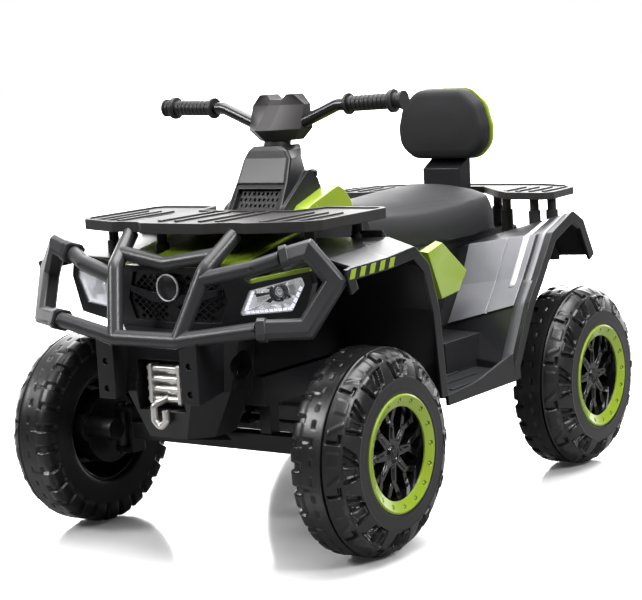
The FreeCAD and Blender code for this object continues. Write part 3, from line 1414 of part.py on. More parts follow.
def seat_wire(back, half, low, shoulder, crown):
    """Section of the seat: flat base, bulging sides and a crowned top."""
    y = FRONT_Y + back
    base = half - SEAT_TUCK
    top = half - SEAT_SHOULDER
    low_z = AXLE_Z + low
    high_z = AXLE_Z + shoulder
    middle_z = (low_z + high_z) / 2
    corners = [V(-base, y, low_z), V(base, y, low_z), V(top, y, high_z), V(-top, y, high_z)]
    return Part.Wire([
        Part.LineSegment(corners[0], corners[1]).toShape(),
        Part.Arc(corners[1], V(half, y, middle_z), corners[2]).toShape(),
        Part.Arc(corners[2], V(0, y, high_z + crown), corners[3]).toShape(),
        Part.Arc(corners[3], V(-half, y, middle_z), corners[0]).toShape(),
    ])


def seat(neighbours):
    """Crowned saddle with drawn-in sides and a slot for the backrest post."""
    body = Part.makeLoft([seat_wire(*section) for section in SEAT_SECTIONS], True, False)
    post = from_wheel(POST_SIDE, REAR_Y)
    play = POST_SLOT_PLAY
    front_y = min(y for y, z in post) - play
    back_y = max(y for y, z in post) + play
    reach = POST_HALF + play
    gap = box(V(-reach, front_y, BELLY_Z), V(reach, back_y, 2 * SEAT_Z))
    below = box(V(-TRACK, FRONT_Y, BELLY_Z), V(TRACK, 2 * REAR_Y, SEAT_Z))
    return trimmed(body, [gap, below] + neighbours)


def backrest_face(inset):
    """Front view of the backrest, drawn in by an inset."""
    top = BACKREST_FACE[-1][1]
    wide = max(x for x, up in BACKREST_FACE)
    share_x = (wide - inset) / wide
    share_z = (top - 2 * inset) / top
    half = [(x * share_x, AXLE_Z + BACKREST_RISE + inset + up * share_z) for x, up in BACKREST_FACE]
    return half + [(-x, z) for x, z in reversed(half)]


def backrest_pad():
    """Crowned pad with drawn-in edges."""
    front = REAR_Y + BACKREST_FRONT
    wires = []
    rings = ((0.0, PAD_FACE_INSET), (PAD_CROWN / 2, PAD_EDGE), (PAD_T * PAD_WIDEST, 0.0), (PAD_T, PAD_EDGE))
    for depth, inset in rings:
        wires.append(outline(in_xz(backrest_face(inset), front + depth), BACKREST_ROUND - inset))
    return Part.makeLoft(wires, True, False)


def backrest_post():
    """Upright that stands on the body and carries the backrest."""
    return plate(in_yz(from_wheel(POST_SIDE, REAR_Y), -POST_HALF), V(2 * POST_HALF, 0, 0))


def backrest_shell(post):
    """Green back shell with a tongue down the back of the post."""
    back = REAR_Y + BACKREST_FRONT + PAD_T
    edge = back + SHELL_T - SHELL_BEVEL
    small = backrest_face(SHELL_INSET + SHELL_BEVEL)
    shell = ruled([outline(in_xz(backrest_face(SHELL_INSET), back), BACKREST_ROUND),
                   outline(in_xz(backrest_face(SHELL_INSET), edge), BACKREST_ROUND),
                   outline(in_xz(small, back + SHELL_T), BACKREST_ROUND - SHELL_BEVEL)])
    post_back = max(y for y, z in from_wheel(POST_SIDE, REAR_Y))
    tongue = box(V(-SHELL_TONGUE_HALF, back, AXLE_Z + SHELL_TONGUE_RISE),
                 V(SHELL_TONGUE_HALF, post_back + SHELL_TONGUE_T, AXLE_Z + BACKREST_RISE + SHELL_TONGUE_LAP))
    return trimmed(fused([shell, tongue]), [post])


# Accelerator pedal, on the right footboard

def pedal_frame():
    """Pin's middle and the pedal's upward and outward directions."""
    angle = math.radians(PEDAL_ANGLE)
    pin = V(-PEDAL_X, FRONT_Y + PEDAL_BACK, FLOOR_Z + TREAD_RIB_H + PEDAL_PIN_RISE)
    rise = V(0, -math.cos(angle), math.sin(angle))
    face = V(0, math.sin(angle), math.cos(angle))
    return pin, rise, face


def accelerator_pedal():
    """Ribbed treadle on a pin at its heel."""
    pin, rise, face = pedal_frame()
    half = PEDAL_W / 2
    base = pin - face * (PEDAL_T / 2)
    corners = [base + V(-half, 0, 0), base + V(half, 0, 0), base + V(half, 0, 0) + rise * PEDAL_L,
               base + V(-half, 0, 0) + rise * PEDAL_L]
    shapes = [plate(corners, face * PEDAL_T), rod(pin - V(half, 0, 0), pin + V(half, 0, 0), PEDAL_T / 2 + 1)]
    side = V(half - PEDAL_RIDGE_INSET, 0, 0)
    for index in range(PEDAL_RIDGES):
        low = pin + face * (PEDAL_T / 2) + rise * (PEDAL_RIDGE_START + index * PEDAL_RIDGE_PITCH)
        high = low + rise * PEDAL_RIDGE_W
        shapes.append(plate([low - side, low + side, high + side, high - side], face * PEDAL_RIDGE_H))
    shapes.append(rod(pin - V(half + PEDAL_EAR_T, 0, 0), pin + V(half + PEDAL_EAR_T, 0, 0), PEDAL_PIN_R))
    return fused(shapes)


def pedal_ears():
    """Two ears on the footboard that hold the pedal's pin."""
    pin = pedal_frame()[0]
    ears = []
    for hand in (1, -1):
        inner = pin + V(hand * (PEDAL_W / 2 + GAP), 0, 0)
        outer = inner + V(hand * PEDAL_EAR_T, 0, 0)
        low_x, high_x = min(inner.x, outer.x), max(inner.x, outer.x)
        foot = box(V(low_x, pin.y - PEDAL_EAR_R, FLOOR_Z - FOOT_T / 2), V(high_x, pin.y + PEDAL_EAR_R, pin.z))
        crown = rod(V(low_x, pin.y, pin.z), V(high_x, pin.y, pin.z), PEDAL_EAR_R)
        hole = rod(V(low_x, pin.y, pin.z), V(high_x, pin.y, pin.z), PEDAL_PIN_R + RUN_FIT)
        ears.append(foot.fuse(crown).cut(hole))
    return ears


def build():
    """Every node of the bike, in the order in which one piece is fitted to another."""
    parts = {}
    wheel_nodes(parts)
    tub = chassis_tub()
    spine = body_spine()
    bowl, lens = headlight()
    fascia = front_fascia()
    nose = skid_nose()
    guards = pair(bumper_guard())
    front_left = front_fender([tub, spine, fascia, bowl, lens, nose_room(), guard_room()])
    rear_left = rear_fender([tub, spine])
    hood = front_hood([fascia, front_left, mirrored(front_left), spine])
    tower = dash_tower([button_socket()])
    board = footboard([tub, front_left, rear_left], FENDER_X)
    right_board = fused([mirrored(board)] + pedal_ears())
    pin = pedal_frame()[0]
    pin_hole = rod(pin - V(PEDAL_W, 0, 0), pin + V(PEDAL_W, 0, 0), PEDAL_PIN_R + RUN_FIT)
    right_board = biggest(right_board.cut(pin_hole))
    front_rack = rack(FRONT_RACK, FRONT_Y, FRONT_RACK_RISE, RACK_T, (FRONT_SLOT_X, FRONT_SLOT_Y), FRONT_RIDGES,
                      FRONT_RIDGE_RUN)
    rear_half = REAR_RACK + [(0, FRONT_REACH - REAR_Y)]
    rear_rack = rack(rear_half, REAR_Y, REAR_RACK_RISE, REAR_RACK_T, (REAR_SLOT_X, REAR_SLOT_Y), REAR_RIDGES,
                     REAR_RIDGE_RUN)
    tubes = bumper_tubes([front_rack, hood[0]] + guards)
    bar = handlebar()
    column = trimmed(steering_column(), [bar])
    post = backrest_post()
    rear_right = mirrored(rear_left)
    front_right = mirrored(front_left)

    parts["chassis_tub"] = [tub]
    parts["body_spine"] = [spine]
    parts["batteries"] = batteries()
    parts["control_box"] = [control_box()]
    parts["rear_gearboxes"] = pair(gearbox(REAR_Y, -1, TUB_HALF))
    parts["rear_axle"] = rear_axle()
    parts["front_axle"] = front_axle()
    parts["skid_nose"] = [nose]
    parts["bumper_tubes"] = [tubes]
    parts["bumper_guards"] = guards
    parts["bumper_brackets"] = pair(bumper_bracket([nose, tubes]))
    parts["winch"] = [winch([nose])]
    parts["front_fascia"] = [fascia]
    parts["grille_mesh"] = [grille_mesh()]
    parts["headlight_bowls"] = pair(bowl)
    parts["headlight_lenses"] = pair(lens)
    parts["front_hood"] = hood
    parts["front_fender_left"] = [front_left]
    parts["front_fender_right"] = [front_right]
    parts["front_rack"] = [front_rack]
    parts["rack_posts"] = rack_posts(AXLE_Z + FRONT_RACK_RISE, AXLE_Z + REAR_RACK_RISE,
                                     [hood[0], spine, front_left], [spine, rear_left])
    parts["dash_tower"] = [tower]
    parts["tower_vent"] = [tower_vent()]
    parts["tank_panels"] = pair(tank_panel([tower, spine]))
    parts["footboard_left"] = [board]
    parts["footboard_right"] = [right_board]
    parts["side_accents"] = pair(side_accent([spine]))
    parts["side_panels"] = pair(side_panel(rear_left))
    parts["rear_fender_left"] = [rear_left]
    parts["rear_fender_right"] = [rear_right]
    parts["rear_rack"] = [rear_rack]
    parts["tail_panel"] = [tail_panel()]
    parts["seat"] = [seat([spine])]
    parts["backrest_post"] = [post]
    parts["backrest_pad"] = [backrest_pad()]
    parts["backrest_shell"] = [backrest_shell(post)]
    parts["power_button"] = [power_button()]
    parts["accelerator_pedal"] = [accelerator_pedal()]
    parts["steering_column"] = [column]
    parts["handlebar"] = [bar]
    parts["handlebar_grips"] = pair(handlebar_grip(bar))
    parts["handlebar_pod"] = [handlebar_pod(bar, column)]
    parts["tie_rod"] = [tie_rod()]
    left_knuckle = knuckle()
    left_gearbox = gearbox(FRONT_Y, -1, GEARBOX_X)
    parts["knuckle_left"] = left_knuckle
    parts["knuckle_right"] = [mirrored(solid) for solid in left_knuckle]
    parts["front_gearbox_left"] = [left_gearbox]
    parts["front_gearbox_right"] = [mirrored(left_gearbox)]
    return parts


os.makedirs("parts", exist_ok=True)
for node, solids in build().items():
    save(node, solids)
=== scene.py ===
"""Looks of a child's ride-on quad bike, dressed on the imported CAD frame.

Every length is in metres, in the frame of the CAD model: the front is towards -Y,
the rider's left is +X and the floor is z = 0.
"""

import json
import logging
import math
from dataclasses import dataclass
from enum import Enum
from typing import Callable, ClassVar, Iterable, Sequence

import bmesh
import bpy
from mathutils import Matrix, Vector


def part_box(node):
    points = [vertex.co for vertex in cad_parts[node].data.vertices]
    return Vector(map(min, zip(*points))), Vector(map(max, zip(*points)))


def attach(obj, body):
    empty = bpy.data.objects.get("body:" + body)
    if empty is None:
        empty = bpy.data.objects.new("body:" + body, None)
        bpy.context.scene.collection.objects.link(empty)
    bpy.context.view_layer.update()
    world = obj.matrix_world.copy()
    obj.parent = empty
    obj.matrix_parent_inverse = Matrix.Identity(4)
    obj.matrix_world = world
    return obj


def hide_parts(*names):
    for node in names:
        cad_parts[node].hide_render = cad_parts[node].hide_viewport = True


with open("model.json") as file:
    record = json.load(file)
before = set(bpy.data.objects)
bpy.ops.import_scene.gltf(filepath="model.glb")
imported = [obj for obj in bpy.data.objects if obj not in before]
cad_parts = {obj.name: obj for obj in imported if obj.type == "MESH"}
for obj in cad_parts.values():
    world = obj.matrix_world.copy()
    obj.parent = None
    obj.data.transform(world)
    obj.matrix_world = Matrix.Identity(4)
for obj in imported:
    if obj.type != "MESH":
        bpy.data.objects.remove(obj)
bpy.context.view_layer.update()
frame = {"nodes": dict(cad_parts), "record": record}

LOG = logging.getLogger("quad_bike")
FULL_TURN = 2 * math.pi
WHITE = (1.0, 1.0, 1.0, 1.0)
FORWARD = Vector((0, -1, 0))

Point2 = tuple[float, float]
Point3 = tuple[float, float, float]
Colour = tuple[float, float, float]
Shape = tuple[list[Point3], list[tuple[int, ...]]]
Station = tuple[float, float, float, float, float]


class Side(Enum):
    """Side of the bike, as the sign of its x."""

    LEFT = 1
    RIGHT = -1

    @property
    def word(self) -> str:
        """The side's name in node names."""
        return self.name.lower()

    @property
    def mirror(self) -> Matrix:
        """Matrix that brings a left form to this side."""
        return Matrix.Diagonal((self.value, 1, 1, 1))


class End(Enum):
    """Front or rear axle."""

    FRONT = "front"
    REAR = "rear"


class Graph:
    """Short-hand for one shader node tree."""

    def __init__(self, tree: bpy.types.NodeTree) -> None:
        self.tree = tree

    def feed(self, node: bpy.types.Node, values: dict) -> bpy.types.Node:
        """Sets inputs of a node.

        Args:
            node: the node.
            values: input socket to a constant or to an output socket that feeds it.

        Returns:
            The same node.
        """
        for socket, value in values.items():
            target = node.inputs[socket]
            if isinstance(value, bpy.types.NodeSocket):
                self.tree.links.new(value, target)
            else:
                target.default_value = value
        return node

    def add(self, kind: str, values: dict | None = None, **settings) -> bpy.types.Node:
        """Adds a node.

        Args:
            kind: node type without the "ShaderNode" prefix.
            values: its inputs, as for feed.
            settings: node properties.

        Returns:
            The new node.
        """
        prefix = "" if kind.startswith("Node") else "ShaderNode"
        node = self.tree.nodes.new(prefix + kind)
        for name, value in settings.items():
            setattr(node, name, value)
        return self.feed(node, values or {})

    def math(self, operation: str, *values) -> bpy.types.NodeSocket:
        """Adds a math node and returns its output."""
        return self.add("Math", dict(enumerate(values)), operation=operation).outputs[0]

    def ramp(self, value: bpy.types.NodeSocket, given: Point2, wanted: Point2) -> bpy.types.NodeSocket:
        """Eases a value from one range into another and returns the result."""
        limits = {"From Min": given[0], "From Max": given[1], "To Min": wanted[0], "To Max": wanted[1]}
        return self.add("MapRange", {"Value": value, **limits}, interpolation_type="SMOOTHSTEP").outputs["Result"]


class Effect:
    """A node group shared by the materials: colour, roughness and relief of one kind of surface."""

    INPUTS = (("Color", "NodeSocketColor"), ("Roughness", "NodeSocketFloat"), ("Scale", "NodeSocketFloat"),
              ("Mottle", "NodeSocketFloat"))
    OUTPUTS = (("Color", "NodeSocketColor"), ("Roughness", "NodeSocketFloat"), ("Height", "NodeSocketFloat"))
    _made: ClassVar[dict[str, bpy.types.NodeTree]] = {}

    def __init__(self, name: str, relief: Callable[..., bpy.types.NodeSocket]) -> None:
        """
        Args:
            name: the group's name.
            relief: adds the nodes for the height, given the graph, the place and the scale.
        """
        self.name = name
        self.relief = relief

    def tree(self) -> bpy.types.NodeTree:
        """The group's node tree, built on first use.

        Returns:
            The node tree.
        """
        if self.name in self._made:
            return self._made[self.name]
        tree = bpy.data.node_groups.new(self.name, "ShaderNodeTree")
        for way, sockets in (("INPUT", self.INPUTS), ("OUTPUT", self.OUTPUTS)):
            for name, kind in sockets:
                tree.interface.new_socket(name, in_out=way, socket_type=kind)
        graph = Graph(tree)
        given = graph.add("NodeGroupInput").outputs
        place = graph.add("TexCoord").outputs["Object"]
        broad = graph.add("TexNoise", {"Vector": place, "Scale": 9.0, "Detail": 5.0, "Roughness": 0.6})
        swing = graph.add("MapRange", {"Value": broad.outputs["Fac"], "From Min": 0.3, "From Max": 0.7,
                                       "To Min": -1.0, "To Max": 1.0})
        amount = graph.math("MULTIPLY", swing.outputs["Result"], given["Mottle"])
        rough = graph.math("ADD", given["Roughness"], graph.math("MULTIPLY", amount, 0.6))
        lighter = graph.add("HueSaturation", {"Color": given["Color"], "Value": graph.math("ADD", amount, 1.0)})
        graph.add("NodeGroupOutput", {"Color": lighter.outputs["Color"], "Roughness": rough,
                                      "Height": self.relief(graph, place, given["Scale"])})
        self._made[self.name] = tree
        return tree


def pebbled(graph: Graph, place: bpy.types.NodeSocket, scale: bpy.types.NodeSocket) -> bpy.types.NodeSocket:
    """Fine moulded texture of matt plastic."""
    return graph.add("TexNoise", {"Vector": place, "Scale": scale, "Detail": 3.0}).outputs["Fac"]


def flowing(graph: Graph, place: bpy.types.NodeSocket, scale: bpy.types.NodeSocket) -> bpy.types.NodeSocket:
    """Slow ripple of a glossy moulding."""
    ripple = {"Vector": place, "Scale": scale, "Detail": 1.0, "Distortion": 0.4}
    return graph.add("TexNoise", ripple).outputs["Fac"]


def leathery(graph: Graph, place: bpy.types.NodeSocket, scale: bpy.types.NodeSocket) -> bpy.types.NodeSocket:
    """Cells and creases of vinyl hide.

    Args:
        graph: the graph of the node tree.
        place: socket with the place on the surface.
        scale: socket with the size of the cells.

    Returns:
        Socket with the height.
    """
    warp = graph.add("TexNoise", {"Vector": place, "Scale": 60.0, "Detail": 2.0}).outputs["Color"]
    shift = graph.add("VectorMath", {0: warp, "Scale": 0.006}, operation="SCALE").outputs[0]
    moved = graph.add("VectorMath", {0: place, 1: shift}, operation="ADD").outputs[0]
    cells = graph.add("TexVoronoi", {"Vector": moved, "Scale": scale}, feature="DISTANCE_TO_EDGE")
    return graph.math("MINIMUM", cells.outputs["Distance"], 0.35)


class Relief(Enum):
    """Kinds of surface relief that the finishes share."""

    PEBBLED = Effect("pebbled_surface", pebbled)
    FLOWING = Effect("flowing_surface", flowing)
    LEATHERY = Effect("leathery_surface", leathery)


@dataclass(frozen=True)
class Finish:
    """One finish: a principled shader fed by a shared relief group, with softened edges."""

    name: str
    colour: Colour
    roughness: float
    relief: Relief = Relief.PEBBLED
    scale: float = 700.0
    bump: float = 0.08
    mottle: float = 0.08
    metallic: float = 0.0
    coat: float = 0.0
    coat_roughness: float = 0.08
    specular: float = 0.5
    edge: float = 0.0022
    relief_depth: float = 0.001
    glow: float = 0.0
    borrowed: str = ""
    _made: ClassVar[dict[str, bpy.types.Material]] = {}

    @property
    def slot(self) -> str:
        """The record's material slot that the finish belongs to."""
        return self.borrowed or self.name

    def material(self) -> bpy.types.Material:
        """Returns the finish as a material, building it on first use."""
        if self.name not in self._made:
            material = bpy.data.materials.new(f"{self.name}_finish")
            material.use_nodes = True
            self.wire(Graph(material.node_tree), material.node_tree.nodes["Principled BSDF"])
            self._made[self.name] = material
        return self._made[self.name]

    def surface(self, graph: Graph) -> bpy.types.bpy_prop_collection:
        """Adds the relief group with this finish's values and returns its outputs."""
        values = {"Color": (*self.colour, 1.0), "Roughness": self.roughness, "Scale": self.scale,
                  "Mottle": self.mottle}
        return graph.add("Group", values, node_tree=self.relief.value.tree()).outputs

    def wire(self, graph: Graph, shader: bpy.types.Node) -> None:
        """Connects the finish to the material's shader.

        Args:
            graph: the graph of the node tree.
            shader: the material's principled shader.
        """
        group = self.surface(graph)
        graph.feed(shader, {"Base Color": group["Color"], "Roughness": group["Roughness"],
                            "Normal": self.normal(graph, group["Height"]), "Metallic": self.metallic,
                            "Coat Weight": self.coat, "Coat Roughness": self.coat_roughness,
                            "Specular IOR Level": self.specular})
        # Glow is the diodes' own lamp light, and painted reflection on the reflectors.
        if self.glow > 0:
            graph.feed(shader, {"Emission Color": group["Color"], "Emission Strength": self.glow})

    def normal(self, graph: Graph, height: bpy.types.NodeSocket) -> bpy.types.NodeSocket:
        """Normal with the edges rounded and the relief on top.

        Args:
            graph: the graph of the node tree.
            height: socket with the relief's height.

        Returns:
            Socket with the normal.
        """
        bump = graph.add("Bump", {"Strength": self.bump, "Distance": self.relief_depth, "Height": height})
        if self.edge > 0:
            bevel = graph.add("Bevel", {"Radius": self.edge}, samples=6)
            graph.feed(bump, {"Normal": bevel.outputs["Normal"]})
        return bump.outputs["Normal"]


@dataclass(frozen=True)
class ClearFinish(Finish):
    """Clear moulded lens."""

    def wire(self, graph: Graph, shader: bpy.types.Node) -> None:
        """Connects a thin clear shader, mixed with a see-through one so that what is inside shows.

        Args:
            graph: the graph of the node tree.
            shader: the material's principled shader.
        """
        height = self.surface(graph)["Height"]
        graph.feed(shader, {"Base Color": (*self.colour, 1.0), "Roughness": self.roughness, "Coat Weight": 1.0,
                            "Normal": self.normal(graph, height)})
        clear = graph.add("BsdfTransparent")
        facing = graph.add("LayerWeight", {"Blend": 0.25}).outputs["Fresnel"]
        share = graph.math("ADD", graph.math("MULTIPLY", facing, 0.6), 0.05)
        both = graph.add("MixShader", {0: share, 1: clear.outputs[0], 2: shader.outputs[0]})
        graph.feed(graph.tree.nodes["Material Output"], {"Surface": both.outputs[0]})


class Palette(Enum):
    """Finishes, each for one of the record's material slots."""

    BODY_BLACK = Finish("body_black", (0.0125, 0.0125, 0.0142), 0.32, bump=0.07, specular=0.45)
    RACK_BLACK = Finish("rack_black", (0.027, 0.0250, 0.0250), 0.52, bump=0.16, specular=0.30)
    BUMPER_GREY = Finish("bumper_grey", (0.0270, 0.0270, 0.0295), 0.34, bump=0.05)
    MESH_BLACK = Finish("mesh_black", (0.010, 0.010, 0.011), 0.30, edge=0.0)
    GREEN = Finish("green", (0.270, 0.380, 0.026), 0.26, relief=Relief.FLOWING, scale=30.0, bump=0.04, coat=0.35,
                   mottle=0.03)
    SILVER = Finish("silver", (0.250, 0.250, 0.272), 0.36, metallic=0.4, bump=0.04, mottle=0.05)
    SEAT_VINYL = Finish("seat_vinyl", (0.0200, 0.0200, 0.0216), 0.66, relief=Relief.LEATHERY, scale=260.0,
                        bump=0.16, specular=0.24, edge=0.0)
    STEEL_DARK = Finish("steel_dark", (0.014, 0.014, 0.016), 0.38, relief=Relief.FLOWING, scale=80.0)
    BAR_BLACK = Finish("bar_black", (0.008, 0.008, 0.009), 0.24, relief=Relief.FLOWING, scale=60.0, bump=0.04)
    GRIP_RUBBER = Finish("grip_rubber", (0.009, 0.009, 0.010), 0.50, scale=500.0, edge=0.001)
    CASE_BLACK = Finish("case_black", (0.008, 0.008, 0.009), 0.42)
    CHROME = Finish("chrome", (0.84, 0.82, 0.79), 0.22, relief=Relief.FLOWING, scale=45.0, metallic=0.65,
                    bump=0.05, mottle=0.06)
    # Its glow is painted reflection: it lights the reflector bowls, bright facets and projector eye as if they
    # mirrored a bright room.
    REFLECTOR = Finish("reflector", (0.90, 0.90, 0.92), 0.10, relief=Relief.FLOWING, scale=40.0, metallic=1.0,
                       mottle=0.03, edge=0.001, glow=0.16)
    LENS = ClearFinish("lens", (0.95, 0.97, 1.0), 0.04, relief=Relief.FLOWING, scale=50.0, bump=0.03, edge=0.001)
    TYRE = Finish("tyre", (0.0145, 0.0140, 0.0148), 0.33, scale=420.0, edge=0.0, mottle=0.10)
    RIM_BLACK = Finish("rim_black", (0.005, 0.005, 0.006), 0.14, relief=Relief.FLOWING, scale=40.0, bump=0.03,
                       coat=0.6, mottle=0.02)
    STRIPE_WHITE = Finish("stripe_white", (0.72, 0.72, 0.74), 0.35, edge=0.0, borrowed="silver")
    STRIPE_GREY = Finish("stripe_grey", (0.20, 0.20, 0.21), 0.38, edge=0.0, borrowed="silver")
    # Paler grey strip on the rear fender flange: a painted highlight where the flange faces the light, not a
    # decal.
    PAINTED_HIGHLIGHT_STRIP = Finish("painted_highlight_strip", (0.075, 0.075, 0.080), 0.38, edge=0.0, borrowed="silver")
    BADGE_RIM = Finish("badge_rim", (0.62, 0.62, 0.64), 0.20, metallic=0.2, edge=0.0, borrowed="silver")
    SMOKED = Finish("smoked_chrome", (0.05, 0.05, 0.06), 0.14, metallic=0.9, edge=0.0005, borrowed="reflector")
    DIODE = Finish("diode", (0.92, 0.94, 1.0), 0.20, edge=0.0005, glow=0.8, borrowed="reflector")
    SCREW = Finish("screw", (0.055, 0.055, 0.058), 0.30, metallic=0.6, edge=0.0005, borrowed="steel_dark")

    @property
    def slot(self) -> str:
        """The record's slot name."""
        return self.value.slot


class Form:
    """Mesh helpers."""

    @staticmethod
    def mesh(name: str, points: Sequence[Point3], faces: Sequence[Sequence[int]], smooth_angle: float = 35.0,
             doubles: float = 1e-5) -> bpy.types.Mesh:
        """Builds a mesh with outward normals, smooth below an angle between faces.

        Args:
            name: the mesh's name.
            points: vertex places.
            faces: vertex numbers of each face.
            smooth_angle: largest angle, in degrees, that is shaded smooth.
            doubles: distance under which vertices are merged.

        Returns:
            The mesh.
        """
        mesh = bpy.data.meshes.new(name)
        mesh.from_pydata([tuple(point) for point in points], [], [tuple(face) for face in faces])
        work = bmesh.new()
        work.from_mesh(mesh)
        bmesh.ops.remove_doubles(work, verts=work.verts, dist=doubles)
        bmesh.ops.recalc_face_normals(work, faces=work.faces)
        work.to_mesh(mesh)
        work.free()
        mesh.shade_smooth()
        mesh.set_sharp_from_angle(angle=math.radians(smooth_angle))
        return mesh

    @staticmethod
    def piece(name: str, mesh: bpy.types.Mesh, finish: Palette, body: str, matrix: Matrix | None = None,
              replaces: Iterable[str] = ()) -> bpy.types.Object:
        """Makes an object from a mesh, paints it and puts it on a body.

        Args:
            name: the piece's name.
            mesh: its mesh, which several pieces may share.
            finish: its finish.
            body: the CAD body that it rides on.
            matrix: where it goes.
            replaces: CAD nodes that it stands for.

        Returns:
            The object.
        """
        piece = bpy.data.objects.new(name, mesh)
        bpy.context.scene.collection.objects.link(piece)
        if matrix is not None:
            piece.matrix_world = matrix
        if not mesh.materials:
            mesh.materials.append(finish.value.material())
        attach(piece, body)
        finish.slot
        if replaces:
            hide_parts(*replaces)
        LOG.info("%s made, on %s", name, body)
        return piece

    @staticmethod
    def solid(name: str, shapes: Iterable[Shape], finish: Palette, side: Side | None = None, body: str = "chassis",
              smooth_angle: float = 35.0, replaces: Iterable[str] = ()) -> bpy.types.Object:
        """Makes one piece from several shapes.

        Args:
            name: the piece's name, before that of its side.
            shapes: points and faces of each shape.
            finish: its finish.
            side: the side that it is on, if it is one of a pair.
            body: the CAD body that it rides on.
            smooth_angle: largest angle, in degrees, that is shaded smooth.
            replaces: CAD nodes that it stands for.

        Returns:
            The object.
        """
        mesh = Form.mesh(name, *Form.joined(shapes), smooth_angle=smooth_angle)
        return Form.piece(name if side is None else f"{name}_{side.word}", mesh, finish, body, replaces=replaces)

    @staticmethod
    def grid(rows: Sequence[Sequence[Point3]], wrap_rows: bool = False, wrap_columns: bool = False) -> Shape:
        """Points and quads of a grid of points, optionally joined end to end.

        Args:
            rows: rows of points, all of one length.
            wrap_rows: whether the last row meets the first.
            wrap_columns: whether each row's end meets its start.

        Returns:
            Points and faces.
        """
        points = [point for row in rows for point in row]
        wide = len(rows[0])
        tall = len(rows)
        faces = []
        for r in range(tall if wrap_rows else tall - 1):
            for c in range(wide if wrap_columns else wide - 1):
                near, far = r % tall * wide, (r + 1) % tall * wide
                after = (c + 1) % wide
                faces.append((near + c, near + after, far + after, far + c))
        return points, faces

    @staticmethod
    def turned(profile: Sequence[Point2], steps: int) -> Shape:
        """Surface of revolution about X from (x, radius) points.

        Args:
            profile: the (x, radius) points.
            steps: number of steps in a full turn.

        Returns:
            Points and faces.
        """
        rows = []
        for step in range(steps):
            angle = FULL_TURN * step / steps
            rows.append([(x, r * math.cos(angle), r * math.sin(angle)) for x, r in profile])
        return Form.grid(rows, wrap_rows=True)

    @staticmethod
    def prism(corners: Sequence[Point3], push: Point3) -> Shape:
        """Flat outline pushed along a vector, with both ends.

        Args:
            corners: the outline.
            push: how far the other end is from it.

        Returns:
            Points and faces.
        """
        count = len(corners)
        far = [tuple(a + b for a, b in zip(corner, push)) for corner in corners]
        faces = [tuple(range(count)), tuple(count + index for index in reversed(range(count)))]
        for index in range(count):
            after = (index + 1) % count
            faces.append((index, after, count + after, count + index))
        return list(corners) + far, faces

    @staticmethod
    def joined(shapes: Iterable[Shape]) -> Shape:
        """Several point and face lists as one.

        Args:
            shapes: points and faces of each shape.

        Returns:
            Points and faces.
        """
        points: list[Point3] = []
        faces: list[tuple[int, ...]] = []
        for more, sides in shapes:
            faces += [tuple(len(points) + index for index in side) for side in sides]
            points += more
        return points, faces

    @staticmethod
    def moved(shape: Shape, matrix: Matrix) -> Shape:
        """A point and face list, moved by a matrix."""
        return [tuple(matrix @ Vector(point)) for point in shape[0]], shape[1]

    @staticmethod
    def block(centre: Vector, along: Vector, across: Vector, size: Point3) -> Shape:
        """A block about a centre.

        Args:
            centre: its middle.
            along: direction of its first size.
            across: direction of its second size.
            size: full sizes along, across and square to both.

        Returns:
            Points and faces.
        """
        deep = along.cross(across)
        corners = []
        for first, second in ((-1, -1), (1, -1), (1, 1), (-1, 1)):
            corners.append(tuple(centre + along * (first * size[0] / 2) + across * (second * size[1] / 2)
                                 - deep * (size[2] / 2)))
        return Form.prism(corners, tuple(deep * size[2]))

    @staticmethod
    def seek(node: str, start: Point3, way: Point3) -> tuple[Vector, Vector] | None:
        """Where a ray first meets a CAD node, and the surface's normal there, or None."""
        found, place, normal, _ = frame["nodes"][node].ray_cast(Vector(start), Vector(way).normalized())
        return (place, normal) if found else None

    @staticmethod
    def hit(node: str, start: Point3, way: Point3) -> tuple[Vector, Vector]:
        """Where a ray that has to meet a CAD node does so, and the surface's normal there.

        Args:
            node: the CAD node.
            start: where the ray starts.
            way: its direction.

        Returns:
            The place and the normal.
        """
        met = Form.seek(node, start, way)
        if met is None:
            raise ValueError(f"nothing of {node} lies along the ray from {start}")
        return met

    @staticmethod
    def facing(place: Vector, normal: Vector) -> Matrix:
        """Matrix that puts X along a normal at a place."""
        turn = Vector((1, 0, 0)).rotation_difference(normal).to_matrix().to_4x4()
        return Matrix.Translation(place) @ turn

    @staticmethod
    def bevel(piece: bpy.types.Object, width: float) -> None:
        """Rounds a piece's edges.

        Args:
            piece: the piece.
            width: width of the rounding.
        """
        modifier = piece.modifiers.new("rounded", "BEVEL")
        modifier.width = width
        modifier.segments = 2
        modifier.limit_method = "ANGLE"
        modifier.angle_limit = math.radians(30.0)


def smooth_step(value: float, low: float, high: float) -> float:
    """0 below low, 1 above high and smooth between."""
    share = min(max((value - low) / (high - low), 0.0), 1.0)
    return share * share * (3 - 2 * share)


def window(value: float, low: float, high: float, soft: float) -> float:
    """1 between low and high, with soft shoulders."""
    return smooth_step(value, low - soft, low + soft) * (1 - smooth_step(value, high - soft, high + soft))


def catmull(points: Sequence[Sequence[float]], share: float) -> list[float]:
    """Point on a smooth curve through points, at a share from 0 to 1.

    Args:
        points: places that the curve goes through.
        share: how far along it, from 0 to 1.

    Returns:
        The point's coordinates.
    """
    spans = len(points) - 1
    place = min(max(share, 0.0), 1.0) * spans
    index = min(int(place), spans - 1)
    t = place - index
    p0 = points[max(index - 1, 0)]
    p1 = points[index]
    p2 = points[index + 1]
    p3 = points[min(index + 2, spans)]
    return [0.5 * (2 * b + (c - a) * t + (2 * a - 5 * b + 4 * c - d) * t * t + (3 * b - a - 3 * c + d) * t ** 3)
            for a, b, c, d in zip(p0, p1, p2, p3)]


